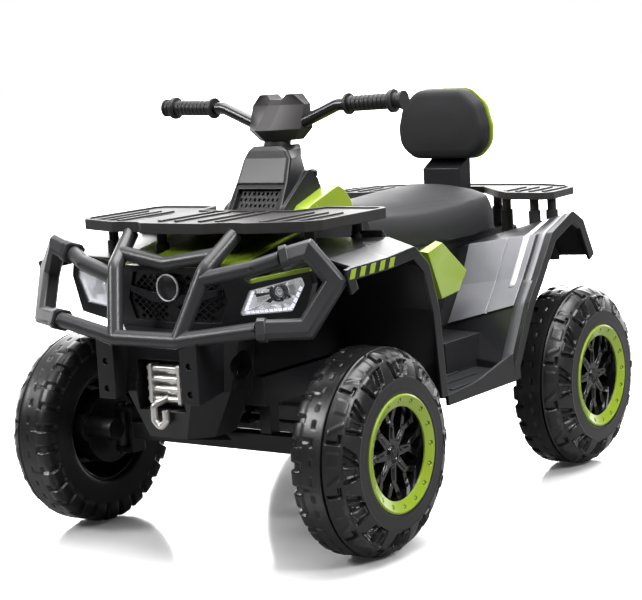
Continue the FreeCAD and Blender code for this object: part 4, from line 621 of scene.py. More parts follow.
@dataclass
class Studio:
    """Camera at the photograph's view, pale floor and soft lights."""

    azimuth: float = 35.57
    elevation: float = 7.93
    roll: float = -3.31
    focal_px: float = 1848.6
    image_px: float = 642.0
    sensor_mm: float = 36.0
    distance: float = 3.4928
    aim_across: float = -0.02797
    aim_height: float = 0.36555
    floor_seen: float = 0.88
    floor_mirrored: float = 0.20
    floor_radii: Point3 = (0.001, 3.0, 40.0)
    floor_steps: int = 64
    floor_fade: Point2 = (0.7, 3.5)

    def build(self) -> None:
        """Sets up the camera, floor, lights and world."""
        self.camera()
        self.floor()
        self.world()
        self.lights()
        bpy.context.scene.view_settings.view_transform = "Standard"

    def camera(self) -> None:
        """Places the camera that was solved from the photograph."""
        around = math.radians(self.azimuth)
        up_angle = math.radians(self.elevation)
        turn = math.radians(self.roll)
        right = Vector((math.cos(around), math.sin(around), 0))
        back = Vector((math.sin(around) * math.cos(up_angle), -math.cos(around) * math.cos(up_angle),
                       math.sin(up_angle)))
        up = back.cross(right)
        rolled_right = right * math.cos(turn) + up * math.sin(turn)
        rolled_up = up * math.cos(turn) - right * math.sin(turn)
        aim = Vector((self.aim_across * math.cos(around), self.aim_across * math.sin(around), self.aim_height))
        data = bpy.data.cameras.new("camera")
        data.sensor_width = self.sensor_mm
        data.lens = self.sensor_mm * self.focal_px / self.image_px
        camera = bpy.data.objects.new("camera", data)
        bpy.context.scene.collection.objects.link(camera)
        matrix = Matrix((rolled_right, rolled_up, back)).transposed().to_4x4()
        matrix.translation = aim + back * self.distance
        camera.matrix_world = matrix
        bpy.context.scene.camera = camera

    def floor(self) -> None:
        """Wide pale floor."""
        angles = [FULL_TURN * step / self.floor_steps for step in range(self.floor_steps)]
        rows = [[(radius * math.cos(angle), radius * math.sin(angle), 0.0) for angle in angles]
                for radius in self.floor_radii]
        mesh = Form.mesh("floor", *Form.grid(rows, wrap_columns=True))
        mesh.materials.append(self.floor_material())
        floor = bpy.data.objects.new("floor", mesh)
        bpy.context.scene.collection.objects.link(floor)

    def floor_material(self) -> bpy.types.Material:
        """White to the eye and fading into the backdrop; darker for what the bike reflects of it.

        Returns:
            The material.
        """
        material = bpy.data.materials.new("floor")
        material.use_nodes = True
        graph = Graph(material.node_tree)
        shader = material.node_tree.nodes["Principled BSDF"]
        seen = graph.add("LightPath").outputs["Is Camera Ray"]
        dark, pale = ((level, level, level, 1.0) for level in (self.floor_mirrored, self.floor_seen))
        colour = graph.add("Mix", {0: seen, 6: dark, 7: pale}, data_type="RGBA").outputs[2]
        place = graph.add("TexCoord").outputs["Object"]
        reach = graph.add("VectorMath", {0: place}, operation="LENGTH").outputs["Value"]
        fade = graph.ramp(reach, self.floor_fade, (0.02, 0.5))
        graph.feed(shader, {"Base Color": colour, "Roughness": 0.12, "Emission Color": WHITE,
                            "Emission Strength": graph.math("MULTIPLY", fade, seen)})
        return material

    def world(self) -> None:
        """White to the eye; as a light, bright overhead and behind the bike and darker behind the camera."""
        world = bpy.data.worlds.new("studio")
        world.use_nodes = True
        graph = Graph(world.node_tree)
        away = (-math.sin(math.radians(self.azimuth)), math.cos(math.radians(self.azimuth)), 0.0)
        way = graph.add("TexCoord").outputs["Generated"]
        lean = graph.add("VectorMath", {0: way, 1: away}, operation="DOT_PRODUCT").outputs["Value"]
        rise = graph.add("SeparateXYZ", {0: way}).outputs["Z"]
        behind = graph.ramp(lean, (0.45, 0.97), (0.02, 5.5))
        overhead = graph.ramp(rise, (0.35, 0.95), (0.0, 1.1))
        level = graph.math("MAXIMUM", behind, overhead)
        seen = graph.add("LightPath").outputs["Is Camera Ray"]
        strength = graph.add("MapRange", {"Value": seen, "To Min": level, "To Max": 1.0}).outputs["Result"]
        graph.feed(world.node_tree.nodes["Background"], {"Color": WHITE, "Strength": strength})
        bpy.context.scene.world = world

    def lights(self) -> None:
        """Large soft boxes overhead, in front and behind."""
        boxes = (
            ("top", (0.1, 0.3, 3.2), (0, 0, 0.3), 3.0, 250.0),
            ("key", (3.3, -0.6, 2.6), (0, 0, 0.4), 1.0, 90.0),
            ("fill", (-2.2, -2.9, 2.6), (0, -0.2, 0.4), 1.0, 85.0),
            ("rim", (-1.2, 3.4, 2.0), (0, 0, 0.4), 2.0, 50.0),
        )
        for name, place, aim, size, power in boxes:
            data = bpy.data.lights.new(name, "AREA")
            data.size = size
            data.energy = power
            lamp = bpy.data.objects.new(name, data)
            bpy.context.scene.collection.objects.link(lamp)
            lamp.location = place
            lamp.rotation_euler = (Vector(aim) - Vector(place)).to_track_quat("-Z", "Y").to_euler()


@dataclass(frozen=True)
class Patch:
    """A patch of the tread pattern, in millimetres.

    Attributes:
        centre: share of the pattern's period at which it lies.
        across: start, end and softness round the tyre.
        out: start, end and softness outwards from the tread's middle.
        lean: shift round the tyre for each millimetre outwards.
        upright: distance outwards at which there is no shift.
    """

    centre: float
    across: Point3
    out: Point3
    lean: float = 0.0
    upright: float = 0.0

    def at(self, around: Callable[[float], float], v: float) -> float:
        """How much of the patch there is at a place.

        Args:
            around: gives the distance round the tyre from a share of the period.
            v: distance outwards.

        Returns:
            A share from 0 to 1.
        """
        return window(around(self.centre) + self.lean * (v - self.upright), *self.across) * window(v, *self.out)


@dataclass(frozen=True)
class Tread:
    """Moulded pattern of a tyre, in millimetres over its smooth section."""

    periods: int = 12
    mean_r: float = 150.0
    groove: Point3 = (10.2, 12.4, 0.7)
    groove_depth: float = 3.4
    lip: Point3 = (13.2, 15.0, 0.7)
    lip_height: float = 0.9
    slits: tuple[Patch, ...] = (Patch(0.42, (-2.3, 2.3, 0.8), (16.5, 40, 0.9)),
                                Patch(0.42, (-12.0, 2.0, 0.9), (36, 41, 0.9)))
    slit_depth: float = 4.4
    block_half: float = 10.5
    block_taper: float = 0.06
    block_root: float = 45.0
    block_out: Point3 = (46, 76, 1.2)
    block_height: float = 1.8
    dish_inset: float = 4.2
    dish_out: Point3 = (51.5, 71, 1.3)
    dish_depth: float = 3.2
    moat_width: float = 6.0
    moat_out: Point3 = (47, 77, 1.2)
    moat_depth: float = 4.2
    pockets: tuple[Patch, ...] = (Patch(0.68, (-11, -1.6, 1.1), (47, 73, 1.2), -0.45, 60),
                                  Patch(0.68, (1.6, 11, 1.1), (47, 73, 1.2), -0.45, 60))
    pocket_depth: float = 4.8
    bar: Patch = Patch(0.16, (-3.6, 3.6, 1.0), (18.5, 40, 1.2), 0.7, 29)
    bar_height: float = 1.3
    pad: Patch = Patch(0.72, (-9, 12, 1.5), (20, 40, 1.5))
    pad_height: float = 0.9
    bead: Point3 = (77.6, 79.4, 0.7)
    bead_height: float = 1.1
    sunk_gain: float = 1.5
    dashes: int = 36
    lugs: int = 28

    def height(self, q: float, turn: float) -> float:
        """Height of the pattern.

        Args:
            q: arc length from the tread's middle in metres, outboard positive.
            turn: share of a full turn.

        Returns:
            Height along the normal in metres.
        """
        v = abs(q) * 1000
        if q < 0:
            return self.inboard(v, turn) / 1000
        pitch = FULL_TURN * self.mean_r / self.periods

        def around(centre: float) -> float:
            """Distance round the tyre from the nearest place at this share of the period."""
            return ((turn * self.periods - centre + 0.5) % 1.0 - 0.5) * pitch

        height = self.lip_height * window(v, *self.lip) - self.groove_depth * window(v, *self.groove)
        height -= self.slit_depth * max(patch.at(around, v) for patch in self.slits)
        block = around(0.0)
        half = self.block_half - self.block_taper * (v - self.block_root)
        raised = window(block, -half, half, 1.0) * window(v, *self.block_out)
        inner, outer = half - self.dish_inset, half + self.moat_width
        moat = window(block, -outer, outer, 1.2) * window(v, *self.moat_out) * (1 - raised)
        height += self.block_height * raised - self.moat_depth * moat
        height -= self.dish_depth * window(block, -inner, inner, 1.3) * window(v, *self.dish_out)
        pocket = max(patch.at(around, v) for patch in self.pockets)
        height -= self.pocket_depth * pocket * (1 - moat) * (1 - raised)
        height += self.bar_height * self.bar.at(around, v) + self.pad_height * self.pad.at(around, v)
        height += self.bead_height * window(v, *self.bead)
        return height * (self.sunk_gain if height < 0 else 1.0) / 1000

    def inboard(self, v: float, turn: float) -> float:
        """Height of the inboard half in millimetres: a row of dashes and the side lugs.

        Args:
            v: distance from the tread's middle in millimetres.
            turn: share of a full turn.

        Returns:
            Height along the normal.
        """
        dash = window(v, 8.4, 11.2, 0.7) * window(turn * self.dashes % 1.0, 0.2, 0.62, 0.03)
        band = window(v, 30, 74, 1.5)
        notch = window(turn * self.lugs % 1.0, 0.60, 0.93, 0.03) * band
        cross = window(turn * self.lugs / 2 % 1.0, 0.30, 0.36, 0.012) * window(v, 14, 30, 1.0)
        return 1.3 * band * (1 - notch) - 2.4 * dash - 4.4 * notch - 1.6 * cross


@dataclass
class Wheels:
    """Four wheels: moulded tyre, forked rim and the bolts of the green ring."""

    tread: Tread = Tread()
    tyre_r: float = 0.175
    steps_per_period: int = 40
    station: float = 0.0016
    curve_steps: int = 240
    spokes: int = 8
    spoke_back: float = 0.005
    lug_circle: float = 0.044
    lug_r: float = 0.0052
    rim_round: float = 0.0012
    ring_bolts: int = 16
    ring_bolt_circle: float = 0.089
    ring_bolt_x: float = 0.049
    outer_half: tuple[Point2, ...] = ((0.0, 0.1735), (0.010, 0.1735), (0.024, 0.1690), (0.036, 0.1600),
                                      (0.045, 0.1480), (0.050, 0.1360), (0.0525, 0.1250), (0.053, 0.1100),
                                      (0.0525, 0.1005), (0.044, 0.0985))
    inner_half: tuple[Point2, ...] = ((0.0, 0.1735), (0.020, 0.1735), (0.040, 0.1728), (0.0485, 0.1690),
                                      (0.0525, 0.1580), (0.053, 0.1350), (0.0525, 0.1100), (0.050, 0.1005),
                                      (0.044, 0.0985))

    def build(self) -> None:
        """Builds the shared meshes and puts them on all four wheels."""
        tyre = self.tyre_mesh()
        rim = self.rim_mesh()
        bolts = self.bolt_mesh()
        for end in End:
            for side in Side:
                name = f"{end.value}_{side.word}"
                low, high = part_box(f"tyre_{name}")
                matrix = Matrix.Translation((low + high) / 2)
                if side is Side.RIGHT:
                    matrix = matrix @ Matrix.Rotation(math.pi, 4, "Z")
                body = f"wheel_{name}"
                Form.piece(f"moulded_tyre_{name}", tyre, Palette.TYRE, body, matrix, [f"tyre_{name}"])
                wheel = Form.piece(f"forked_rim_{name}", rim, Palette.RIM_BLACK, body, matrix, [f"rim_{name}"])
                Form.bevel(wheel, self.rim_round)
                Form.piece(f"ring_bolts_{name}", bolts, Palette.GREEN, body, matrix)

    def stations(self, half: Sequence[Point2], step: float) -> list[Station]:
        """Even stations along half a tyre section.

        Args:
            half: (x, radius) points from the tread's middle to the bead.
            step: distance between stations.

        Returns:
            For each station x, radius, normal x, normal radius and the arc length from the tread's middle.
        """
        fine = [catmull(half, index / self.curve_steps) for index in range(self.curve_steps + 1)]
        lengths = [0.0]
        for (x0, r0), (x1, r1) in zip(fine, fine[1:]):
            lengths.append(lengths[-1] + math.hypot(x1 - x0, r1 - r0))
        count = round(lengths[-1] / step)
        found = []
        for index in range(count + 1):
            want = lengths[-1] * index / count
            spot = next((k for k in range(1, len(lengths)) if lengths[k] >= want), len(lengths) - 1)
            share = (want - lengths[spot - 1]) / (lengths[spot] - lengths[spot - 1])
            (x0, r0), (x1, r1) = fine[spot - 1], fine[spot]
            size = math.hypot(x1 - x0, r1 - r0)
            normal = ((r0 - r1) / size, (x1 - x0) / size)
            found.append((x0 + (x1 - x0) * share, r0 + (r1 - r0) * share, *normal, want))
        return found

    def section(self) -> list[Station]:
        """Whole tyre section from the inner bead to the outer one.

        Returns:
            The stations in order.
        """
        outer = self.stations(self.outer_half, self.station)
        inner = self.stations(self.inner_half, 2 * self.station)
        return [(-x, r, -nx, nr, -q) for x, r, nx, nr, q in reversed(inner[1:])] + outer

    def tyre_mesh(self) -> bpy.types.Mesh:
        """Tyre skin with its whole tread pattern as relief.

        Returns:
            The mesh.
        """
        section = self.section()
        steps = self.tread.periods * self.steps_per_period
        rows = []
        for step in range(steps):
            turn = step / steps
            angle = FULL_TURN * turn
            row = []
            for x, r, nx, nr, q in section:
                height = self.tread.height(q, turn)
                radius = min(r + nr * height, self.tyre_r)
                row.append((x + nx * height, radius * math.cos(angle), radius * math.sin(angle)))
            rows.append(row)
        return Form.mesh("moulded_tyre", *Form.grid(rows, wrap_rows=True), smooth_angle=50.0)

    def rim_mesh(self) -> bpy.types.Mesh:
        """Dished rim with forked spokes, flush hub and lug bolts.

        Returns:
            The mesh.
        """
        profile = [(-0.044, 0.094), (-0.044, 0.1), (0.0435, 0.1), (0.0435, 0.080), (0.036, 0.079), (0.010, 0.074),
                   (0.006, 0.05), (0.006, 0.027), (0.030, 0.0255), (0.0335, 0.0225), (0.0335, 0.0165),
                   (0.0315, 0.0155), (0.0315, 0.0125), (0.0345, 0.0115), (0.0355, 0.0085), (0.0355, 0.0005),
                   (-0.009, 0.0005), (-0.009, 0.024), (0.003, 0.026), (0.003, 0.072), (-0.044, 0.094)]
        shapes = [Form.turned(profile, 72)]
        for index in range(self.spokes):
            turn = Matrix.Rotation(FULL_TURN * index / self.spokes, 4, "X")
            shapes += [Form.moved(shape, turn) for shape in self.spoke()]
        return Form.mesh("forked_rim", *Form.joined(shapes), smooth_angle=30.0)

    def spoke(self) -> list[Shape]:
        """Stem, crowned fork arms and a lug bolt of one spoke.

        Returns:
            Points and faces of each.
        """
        stem = [(-0.0085, 0.021), (0.0085, 0.021), (0.0066, 0.050), (0.0, 0.057), (-0.0066, 0.050)]
        keel = [(-0.0028, 0.024), (0.0028, 0.024), (0.0022, 0.046), (-0.0022, 0.046)]
        arm = [(-0.0005, 0.054), (0.0068, 0.048), (0.0225, 0.0755), (0.0110, 0.0785)]
        half = math.pi / self.spokes
        middle = (self.lug_circle * math.sin(half), self.lug_circle * math.cos(half))
        corners = [FULL_TURN * k / 6 for k in range(6)]
        lug = [(middle[0] + self.lug_r * math.cos(a), middle[1] + self.lug_r * math.sin(a)) for a in corners]
        bars = ((stem, 0.029), (keel, 0.0315), (arm, 0.027), ([(-y, z) for y, z in arm], 0.027), (lug, 0.012))
        return [Form.prism([(self.spoke_back, y, z) for y, z in outline], (rise, 0, 0)) for outline, rise in bars]

    def bolt_mesh(self) -> bpy.types.Mesh:
        """Domed bolt heads in the ring's recesses.

        Returns:
            The mesh.
        """
        dome = [(0.0, 0.0031), (0.0014, 0.0030), (0.0024, 0.0021), (0.0028, 0.0003)]
        shapes = []
        for index in range(self.ring_bolts):
            angle = FULL_TURN * index / self.ring_bolts
            shift = Matrix.Translation((self.ring_bolt_x, self.ring_bolt_circle * math.cos(angle),
                                        self.ring_bolt_circle * math.sin(angle)))
            shapes.append(Form.moved(Form.turned(dome, 12), shift))
        return Form.mesh("ring_bolts", *Form.joined(shapes))


@dataclass
class Cushion:
    """A stuffed piece, swollen by a cloth simulation from the CAD solid that it stands for."""

    node: str
    resting_way: Point3
    fill: float
    voxel: float = 0.005
    inset: float = 0.0040
    pressure: float = 4.0
    frames: int = 20
    cap: float = 0.0065
    even_rounds: int = 40
    quick_share: float = 0.35
    held_facing: float = 0.7
    seam_facing: float = 0.5
    seam_rise: float = 0.0
    seam_depth: float = 0.0016
    seam_half: float = 0.0035

    def build(self) -> None:
        """Swells the pad, sews its seam and puts it in place of the CAD solid."""
        start = self.remeshed()
        piece = Form.piece(f"stuffed_{self.node}", start, Palette.SEAT_VINYL, "chassis", None, [self.node])
        self.swell(piece)
        if self.seam_rise > 0:
            self.sew(piece.data)
        piece.data.shade_smooth()
        piece.modifiers.new("finer", "SUBSURF").render_levels = 1

    def remeshed(self) -> bpy.types.Mesh:
        """Even closed mesh of the CAD solid, drawn in where it isn't resting on something.

        Returns:
            The mesh.
        """
        rough = bpy.data.objects.new("rough", frame["nodes"][self.node].data.copy())
        bpy.context.scene.collection.objects.link(rough)
        weld = rough.modifiers.new("weld", "WELD")
        weld.merge_threshold = 1e-5
        voxels = rough.modifiers.new("voxels", "REMESH")
        voxels.mode = "VOXEL"
        voxels.voxel_size = self.voxel
        soften = rough.modifiers.new("soften", "SMOOTH")
        soften.iterations = 3
        evaluated = rough.evaluated_get(bpy.context.evaluated_depsgraph_get())
        mesh = bpy.data.meshes.new_from_object(evaluated)
        bpy.data.objects.remove(rough)
        mesh.name = f"stuffed_{self.node}"
        mesh.materials.clear()
        normals = [vertex.normal.copy() for vertex in mesh.vertices]
        resting = Vector(self.resting_way)
        draw = self.inset * 1.0
        for vertex, normal in zip(mesh.vertices, normals):
            vertex.co -= normal * draw * (1 - max(0.0, normal.dot(resting)))
        return mesh

    def swell(self, piece: bpy.types.Object) -> None:
        """Runs the cloth under inner pressure, caps each point's way and keeps the result.

        Args:
            piece: the pad.
        """
        mesh = piece.data
        held = piece.vertex_groups.new(name="held")
        resting = Vector(self.resting_way)
        held.add([v.index for v in mesh.vertices if v.normal.dot(resting) > self.held_facing], 1.0, "REPLACE")
        before = [vertex.co.copy() for vertex in mesh.vertices]
        cloth = piece.modifiers.new("cloth", "CLOTH")
        cloth.settings.use_pressure = True
        cloth.settings.uniform_pressure_force = self.pressure
        cloth.settings.effector_weights.gravity = 0.0
        cloth.settings.vertex_group_mass = held.name
        cloth.collision_settings.use_collision = False
        cloth.point_cache.frame_start = 1
        cloth.point_cache.frame_end = self.frames
        scene = bpy.context.scene
        for number in range(1, self.frames + 1):
            scene.frame_set(number)
        evaluated = piece.evaluated_get(bpy.context.evaluated_depsgraph_get())
        after = [vertex.co.copy() for vertex in evaluated.data.vertices]
        piece.modifiers.remove(cloth)
        scene.frame_set(1)
        normals = [vertex.normal.copy() for vertex in mesh.vertices]
        ways = [(new - old).dot(normal) for old, new, normal in zip(before, after, normals)]
        lifts = self.evened(mesh, [min(max(way, 0.0), self.cap) for way in ways])
        for vertex, old, normal, lift in zip(mesh.vertices, before, normals, lifts):
            vertex.co = old + normal * lift
        LOG.info("%s swelled by up to %.1f mm", self.node, 1000 * max(lifts))

    def evened(self, mesh: bpy.types.Mesh, values: Sequence[float]) -> list[float]:
        """Spreads a value of each vertex over its neighbours, so that stuffing and not creases shows.

        Args:
            mesh: the pad's mesh.
            values: one value for each vertex.

        Returns:
            The evened values.
        """
        beside: list[list[int]] = [[] for _ in mesh.vertices]
        for first, second in (edge.vertices for edge in mesh.edges):
            beside[first].append(second)
            beside[second].append(first)
        now = list(values)
        for _ in range(self.even_rounds):
            now = [0.5 * value + 0.5 * sum(now[other] for other in near) / len(near) if near else value
                   for value, near in zip(now, beside)]
        return now

    def sew(self, mesh: bpy.types.Mesh) -> None:
        """Presses in the seam that runs round the pad above its lower edge.

        Args:
            mesh: the pad's mesh.
        """
        mesh.update()
        low = min(vertex.co.z for vertex in mesh.vertices)
        resting = Vector(self.resting_way)
        normals = [vertex.normal.copy() for vertex in mesh.vertices]
        for vertex, normal in zip(mesh.vertices, normals):
            off = abs(vertex.co.z - low - self.seam_rise)
            if off < self.seam_half and normal.dot(resting) < self.seam_facing:
                vertex.co -= normal * self.seam_depth * (1 - off / self.seam_half)


@dataclass(frozen=True)
class NosePlane:
    """The two flat halves of the nose, swept back from the middle."""

    middle_y: float = -0.482
    side_y: float = -0.434
    side_x: float = 0.262

    @property
    def along(self) -> Vector:
        """Direction outwards along the left half."""
        return Vector((self.side_x, self.side_y - self.middle_y, 0)).normalized()

    @property
    def inward(self) -> Vector:
        """Direction into the left half."""
        return Vector((0, 0, 1)).cross(self.along)

    def at(self, x: float, z: float, depth: float = 0.0) -> Vector:
        """Place on the left half, set in by a depth."""
        share = x / self.side_x
        return Vector((x, self.middle_y + (self.side_y - self.middle_y) * share, z)) + self.inward * depth


@dataclass
class Headlights:
    """Inside of the two headlights: a row of diodes, reflector facets and a projector."""

    plane: NosePlane = NosePlane()
    outline: tuple[Point2, ...] = ((0.126, 0.409), (0.147, 0.451), (0.243, 0.474), (0.247, 0.461), (0.223, 0.418))
    row_depth: float = 0.0055
    row_share: float = 0.86
    diode_pitch: float = 0.0082
    diode_side: float = 0.0052
    facet_count: int = 12
    facet_first: float = 80.0
    facet_sweep: float = 270.0
    facet_half: float = 8.0
    facet_near: float = 0.017
    facet_far: float = 0.027
    facet_stretch: float = 0.014
    facet_squash: float = 0.55
    facet_depth: float = 0.019
    projector: Point2 = (0.194, 0.447)
    projector_depth: float = 0.020
    eye_r: float = 0.0085
    eye_rise: float = 0.007
    round_steps: int = 36

    def build(self) -> None:
        """Builds both headlights."""
        facets = self.facets()
        # Alternate facets are painted lit and shaded: the glowing ones stand for facets that catch a highlight,
        # the dark ones for facets in shade.
        groups = (("diodes", self.diodes(), Palette.DIODE), ("painted_glint_facets", facets[::2], Palette.REFLECTOR),
                  ("painted_shade_facets", facets[1::2], Palette.SMOKED), ("projector", self.rings(), Palette.SMOKED),
                  ("eye", [self.eye()], Palette.REFLECTOR))
        for side in Side:
            for name, shapes, finish in groups:
                Form.solid(f"headlight_{name}", [Form.moved(shape, side.mirror) for shape in shapes], finish, side,
                           smooth_angle=40.0)

    def drawn_in(self, share: float) -> list[Point2]:
        """The lens outline drawn in about its middle."""
        middle = [sum(point[k] for point in self.outline) / len(self.outline) for k in (0, 1)]
        return [tuple(m + (c - m) * share for c, m in zip(point, middle)) for point in self.outline]

    def diodes(self) -> list[Shape]:
        """Diodes along the lower and the outer edge.

        Returns:
            Points and faces of each.
        """
        points = self.drawn_in(self.row_share)
        edges = ((points[0], points[4], self.diode_pitch, self.diode_side),
                 (points[4], points[3], self.diode_pitch * 1.2, self.diode_side * 1.25))
        shapes = []
        for start, end, pitch, side in edges:
            first, last = (self.plane.at(*point, self.row_depth) for point in (start, end))
            along = (last - first).normalized()
            across = self.plane.inward.cross(along)
            count = int((last - first).length / pitch)
            for index in range(count):
                centre = first + (last - first) * ((index + 0.5) / count)
                shapes.append(Form.block(centre, along, across, (side, side * 0.85, 0.003)))
        return shapes

    def facets(self) -> list[Shape]:
        """Fan of reflector facets round the projector.

        Returns:
            Points and faces of each.
        """
        shapes = []
        half = math.radians(self.facet_half)
        near = self.facet_near
        for index in range(self.facet_count):
            angle = math.radians(self.facet_first + index * self.facet_sweep / self.facet_count)
            far = self.facet_far + self.facet_stretch * max(0.0, -math.cos(angle))
            corners = []
            for reach, turn in ((near, -half), (far, -half), (far, half), (near, half)):
                x = self.projector[0] + reach * math.cos(angle + turn)
                z = self.projector[1] + self.facet_squash * reach * math.sin(angle + turn)
                depth = self.facet_depth - 0.007 * (reach == far) - 0.004 * (index % 2)
                corners.append(tuple(self.plane.at(x, z, depth)))
            shapes.append(Form.prism(corners, tuple(self.plane.inward * 0.0025)))
        return shapes

    def turned_in(self, profile: Sequence[Point2]) -> Shape:
        """Turned form whose axis points out of the lamp at the projector."""
        centre = self.plane.at(*self.projector, self.projector_depth)
        return Form.moved(Form.turned(profile, self.round_steps), Form.facing(centre, -self.plane.inward))

    def rings(self) -> list[Shape]:
        """Two nested bezels of the projector.

        Returns:
            Points and faces of each.
        """
        outer = [(0.0, 0.0150), (0.010, 0.0158), (0.012, 0.0148), (0.010, 0.0136), (0.003, 0.0128), (0.0, 0.0150)]
        inner = [(0.0, 0.0106), (0.008, 0.0110), (0.0095, 0.0102), (0.008, 0.0092), (0.002, 0.0088), (0.0, 0.0106)]
        return [self.turned_in(outer), self.turned_in(inner)]

    def eye(self) -> Shape:
        """Domed eye of the projector.

        Returns:
            Points and faces.
        """
        dome = [(0.0, self.eye_r)]
        for step in range(1, 8):
            angle = math.pi / 2 * step / 7
            dome.append((self.eye_rise * math.sin(angle), max(self.eye_r * math.cos(angle), 0.0002)))
        return self.turned_in(dome)


@dataclass
class NoseTrim:
    """Plain round badge and the two crest blades in front of the mesh."""

    plane: NosePlane = NosePlane()
    badge_z: float = 0.456
    badge_r: float = 0.0235
    badge_lead: float = 0.004
    badge_steps: int = 48
    blade: tuple[Point2, ...] = ((0.012, 0.428), (0.048, 0.430), (0.100, 0.4440), (0.100, 0.4545), (0.060, 0.4490),
                                 (0.012, 0.4440))
    blade_lead: float = 0.001
    blade_thick: float = 0.005
    blade_round: float = 0.0008

    def build(self) -> None:
        """Builds the badge and the blades."""
        front = Form.facing(Vector((0, self.plane.middle_y - self.badge_lead, self.badge_z)), FORWARD)
        r = self.badge_r
        disc = [(-0.004, r - 0.001), (0.0, r - 0.001), (0.0012, r - 0.003), (0.0016, 0.0003)]
        rim = [(-0.001, r), (0.0020, r), (0.0030, r - 0.0012), (0.0020, r - 0.0026), (-0.001, r - 0.0026),
               (-0.001, r)]
        for name, profile, finish, angle in (("badge_disc", disc, Palette.MESH_BLACK, 35.0),
                                             ("badge_rim", rim, Palette.BADGE_RIM, 50.0)):
            shape = Form.moved(Form.turned(profile, self.badge_steps), front)
            Form.solid(name, [shape], finish, smooth_angle=angle)
        corners = [tuple(self.plane.at(x, z, -self.blade_lead)) for x, z in self.blade]
        blade = Form.prism(corners, tuple(self.plane.inward * self.blade_thick))
        for side in Side:
            piece = Form.solid("crest_blade", [Form.moved(blade, side.mirror)], Palette.SMOKED, side)
            Form.bevel(piece, self.blade_round)


@dataclass
class GripRings:
    """Rings round the outer ends of the handlebar grips."""

    inner: Point3 = (0.126, -0.141, 0.737)
    outer: Point3 = (0.262, -0.140, 0.741)
    share: float = 0.86
    radius: float = 0.0205
    bore: float = 0.012
    width: float = 0.009
    rounding: float = 0.0015
    steps: int = 40

    def build(self) -> None:
        """Builds one ring on each grip."""
        half, r, edge = self.width / 2, self.radius, self.rounding
        profile = [(-half, self.bore), (-half, r - edge), (-half + edge, r), (half - edge, r), (half, r - edge),
                   (half, self.bore)]
        for side in Side:
            start, end = (Vector((side.value * x, y, z)) for x, y, z in (self.inner, self.outer))
            matrix = Form.facing(start.lerp(end, self.share), (end - start).normalized())
            ring = Form.moved(Form.turned(profile, self.steps), matrix)
            Form.solid("grip_ring", [ring], Palette.GRIP_RUBBER, side, "steering", 50.0)


@dataclass
class CornerGuards:
    """Angular corner castings of the bumper, with a collar over each tube end."""

    path: tuple[Point3, ...] = ((0.225, -0.466, 0.507), (0.272, -0.455, 0.520), (0.311, -0.440, 0.468),
                                (0.284, -0.488, 0.399), (0.212, -0.522, 0.399))
    half: float = 0.0160
    chamfer: float = 0.0065
    collar_length: float = 0.015
    collar_over: float = 0.0024
    rounding: float = 0.0014

    def build(self) -> None:
        """Builds both guards in place of the CAD hoops."""
        points = [Vector(point) for point in self.path]
        low = points[0] + (points[1] - points[0]).normalized() * self.collar_length
        high = points[-1] + (points[-2] - points[-1]).normalized() * self.collar_length
        shapes = []
        for side in Side:
            for line, half in ((points, self.half), ([points[0], low], self.half + self.collar_over),
                               ([high, points[-1]], self.half + self.collar_over)):
                shapes.append(Form.moved(self.swept(line, half), side.mirror))
        piece = Form.solid("corner_guards", shapes, Palette.BUMPER_GREY, smooth_angle=25.0,
                           replaces=["bumper_guards"])
        Form.bevel(piece, self.rounding)

    def normal(self) -> Vector:
        """Direction square to the plane that the guard bends in.

        Returns:
            The direction, of length 1.
        """
        points = [Vector(point) for point in self.path]
        total = Vector((0, 0, 0))
        for first, second in zip(points, points[1:] + points[:1]):
            total += first.cross(second)
        return total.normalized()

    def swept(self, points: Sequence[Vector], half: float) -> Shape:
        """Chamfered square section along a path with mitred corners and closed ends.

        Args:
            points: corners of the path.
            half: half the section's width.

        Returns:
            Points and faces.
        """
        normal = self.normal()
        sides = [normal.cross(b - a).normalized() for a, b in zip(points, points[1:])]
        near = half - self.chamfer
        section = ((half, near), (near, half), (-near, half), (-half, near), (-half, -near), (-near, -half),
                   (near, -half), (half, -near))
        rows = []
        for index, point in enumerate(points):
            after = sides[min(index, len(sides) - 1)]
            mitre = (sides[max(index - 1, 0)] + after).normalized()
            mitre /= mitre.dot(after)
            rows.append([tuple(point + mitre * u + normal * v) for u, v in section])
        corners, faces = Form.grid(rows, wrap_columns=True)
        last = len(corners) - len(section)
        ends = [tuple(range(len(section))), tuple(last + index for index in range(len(section)))]
        return corners, faces + ends


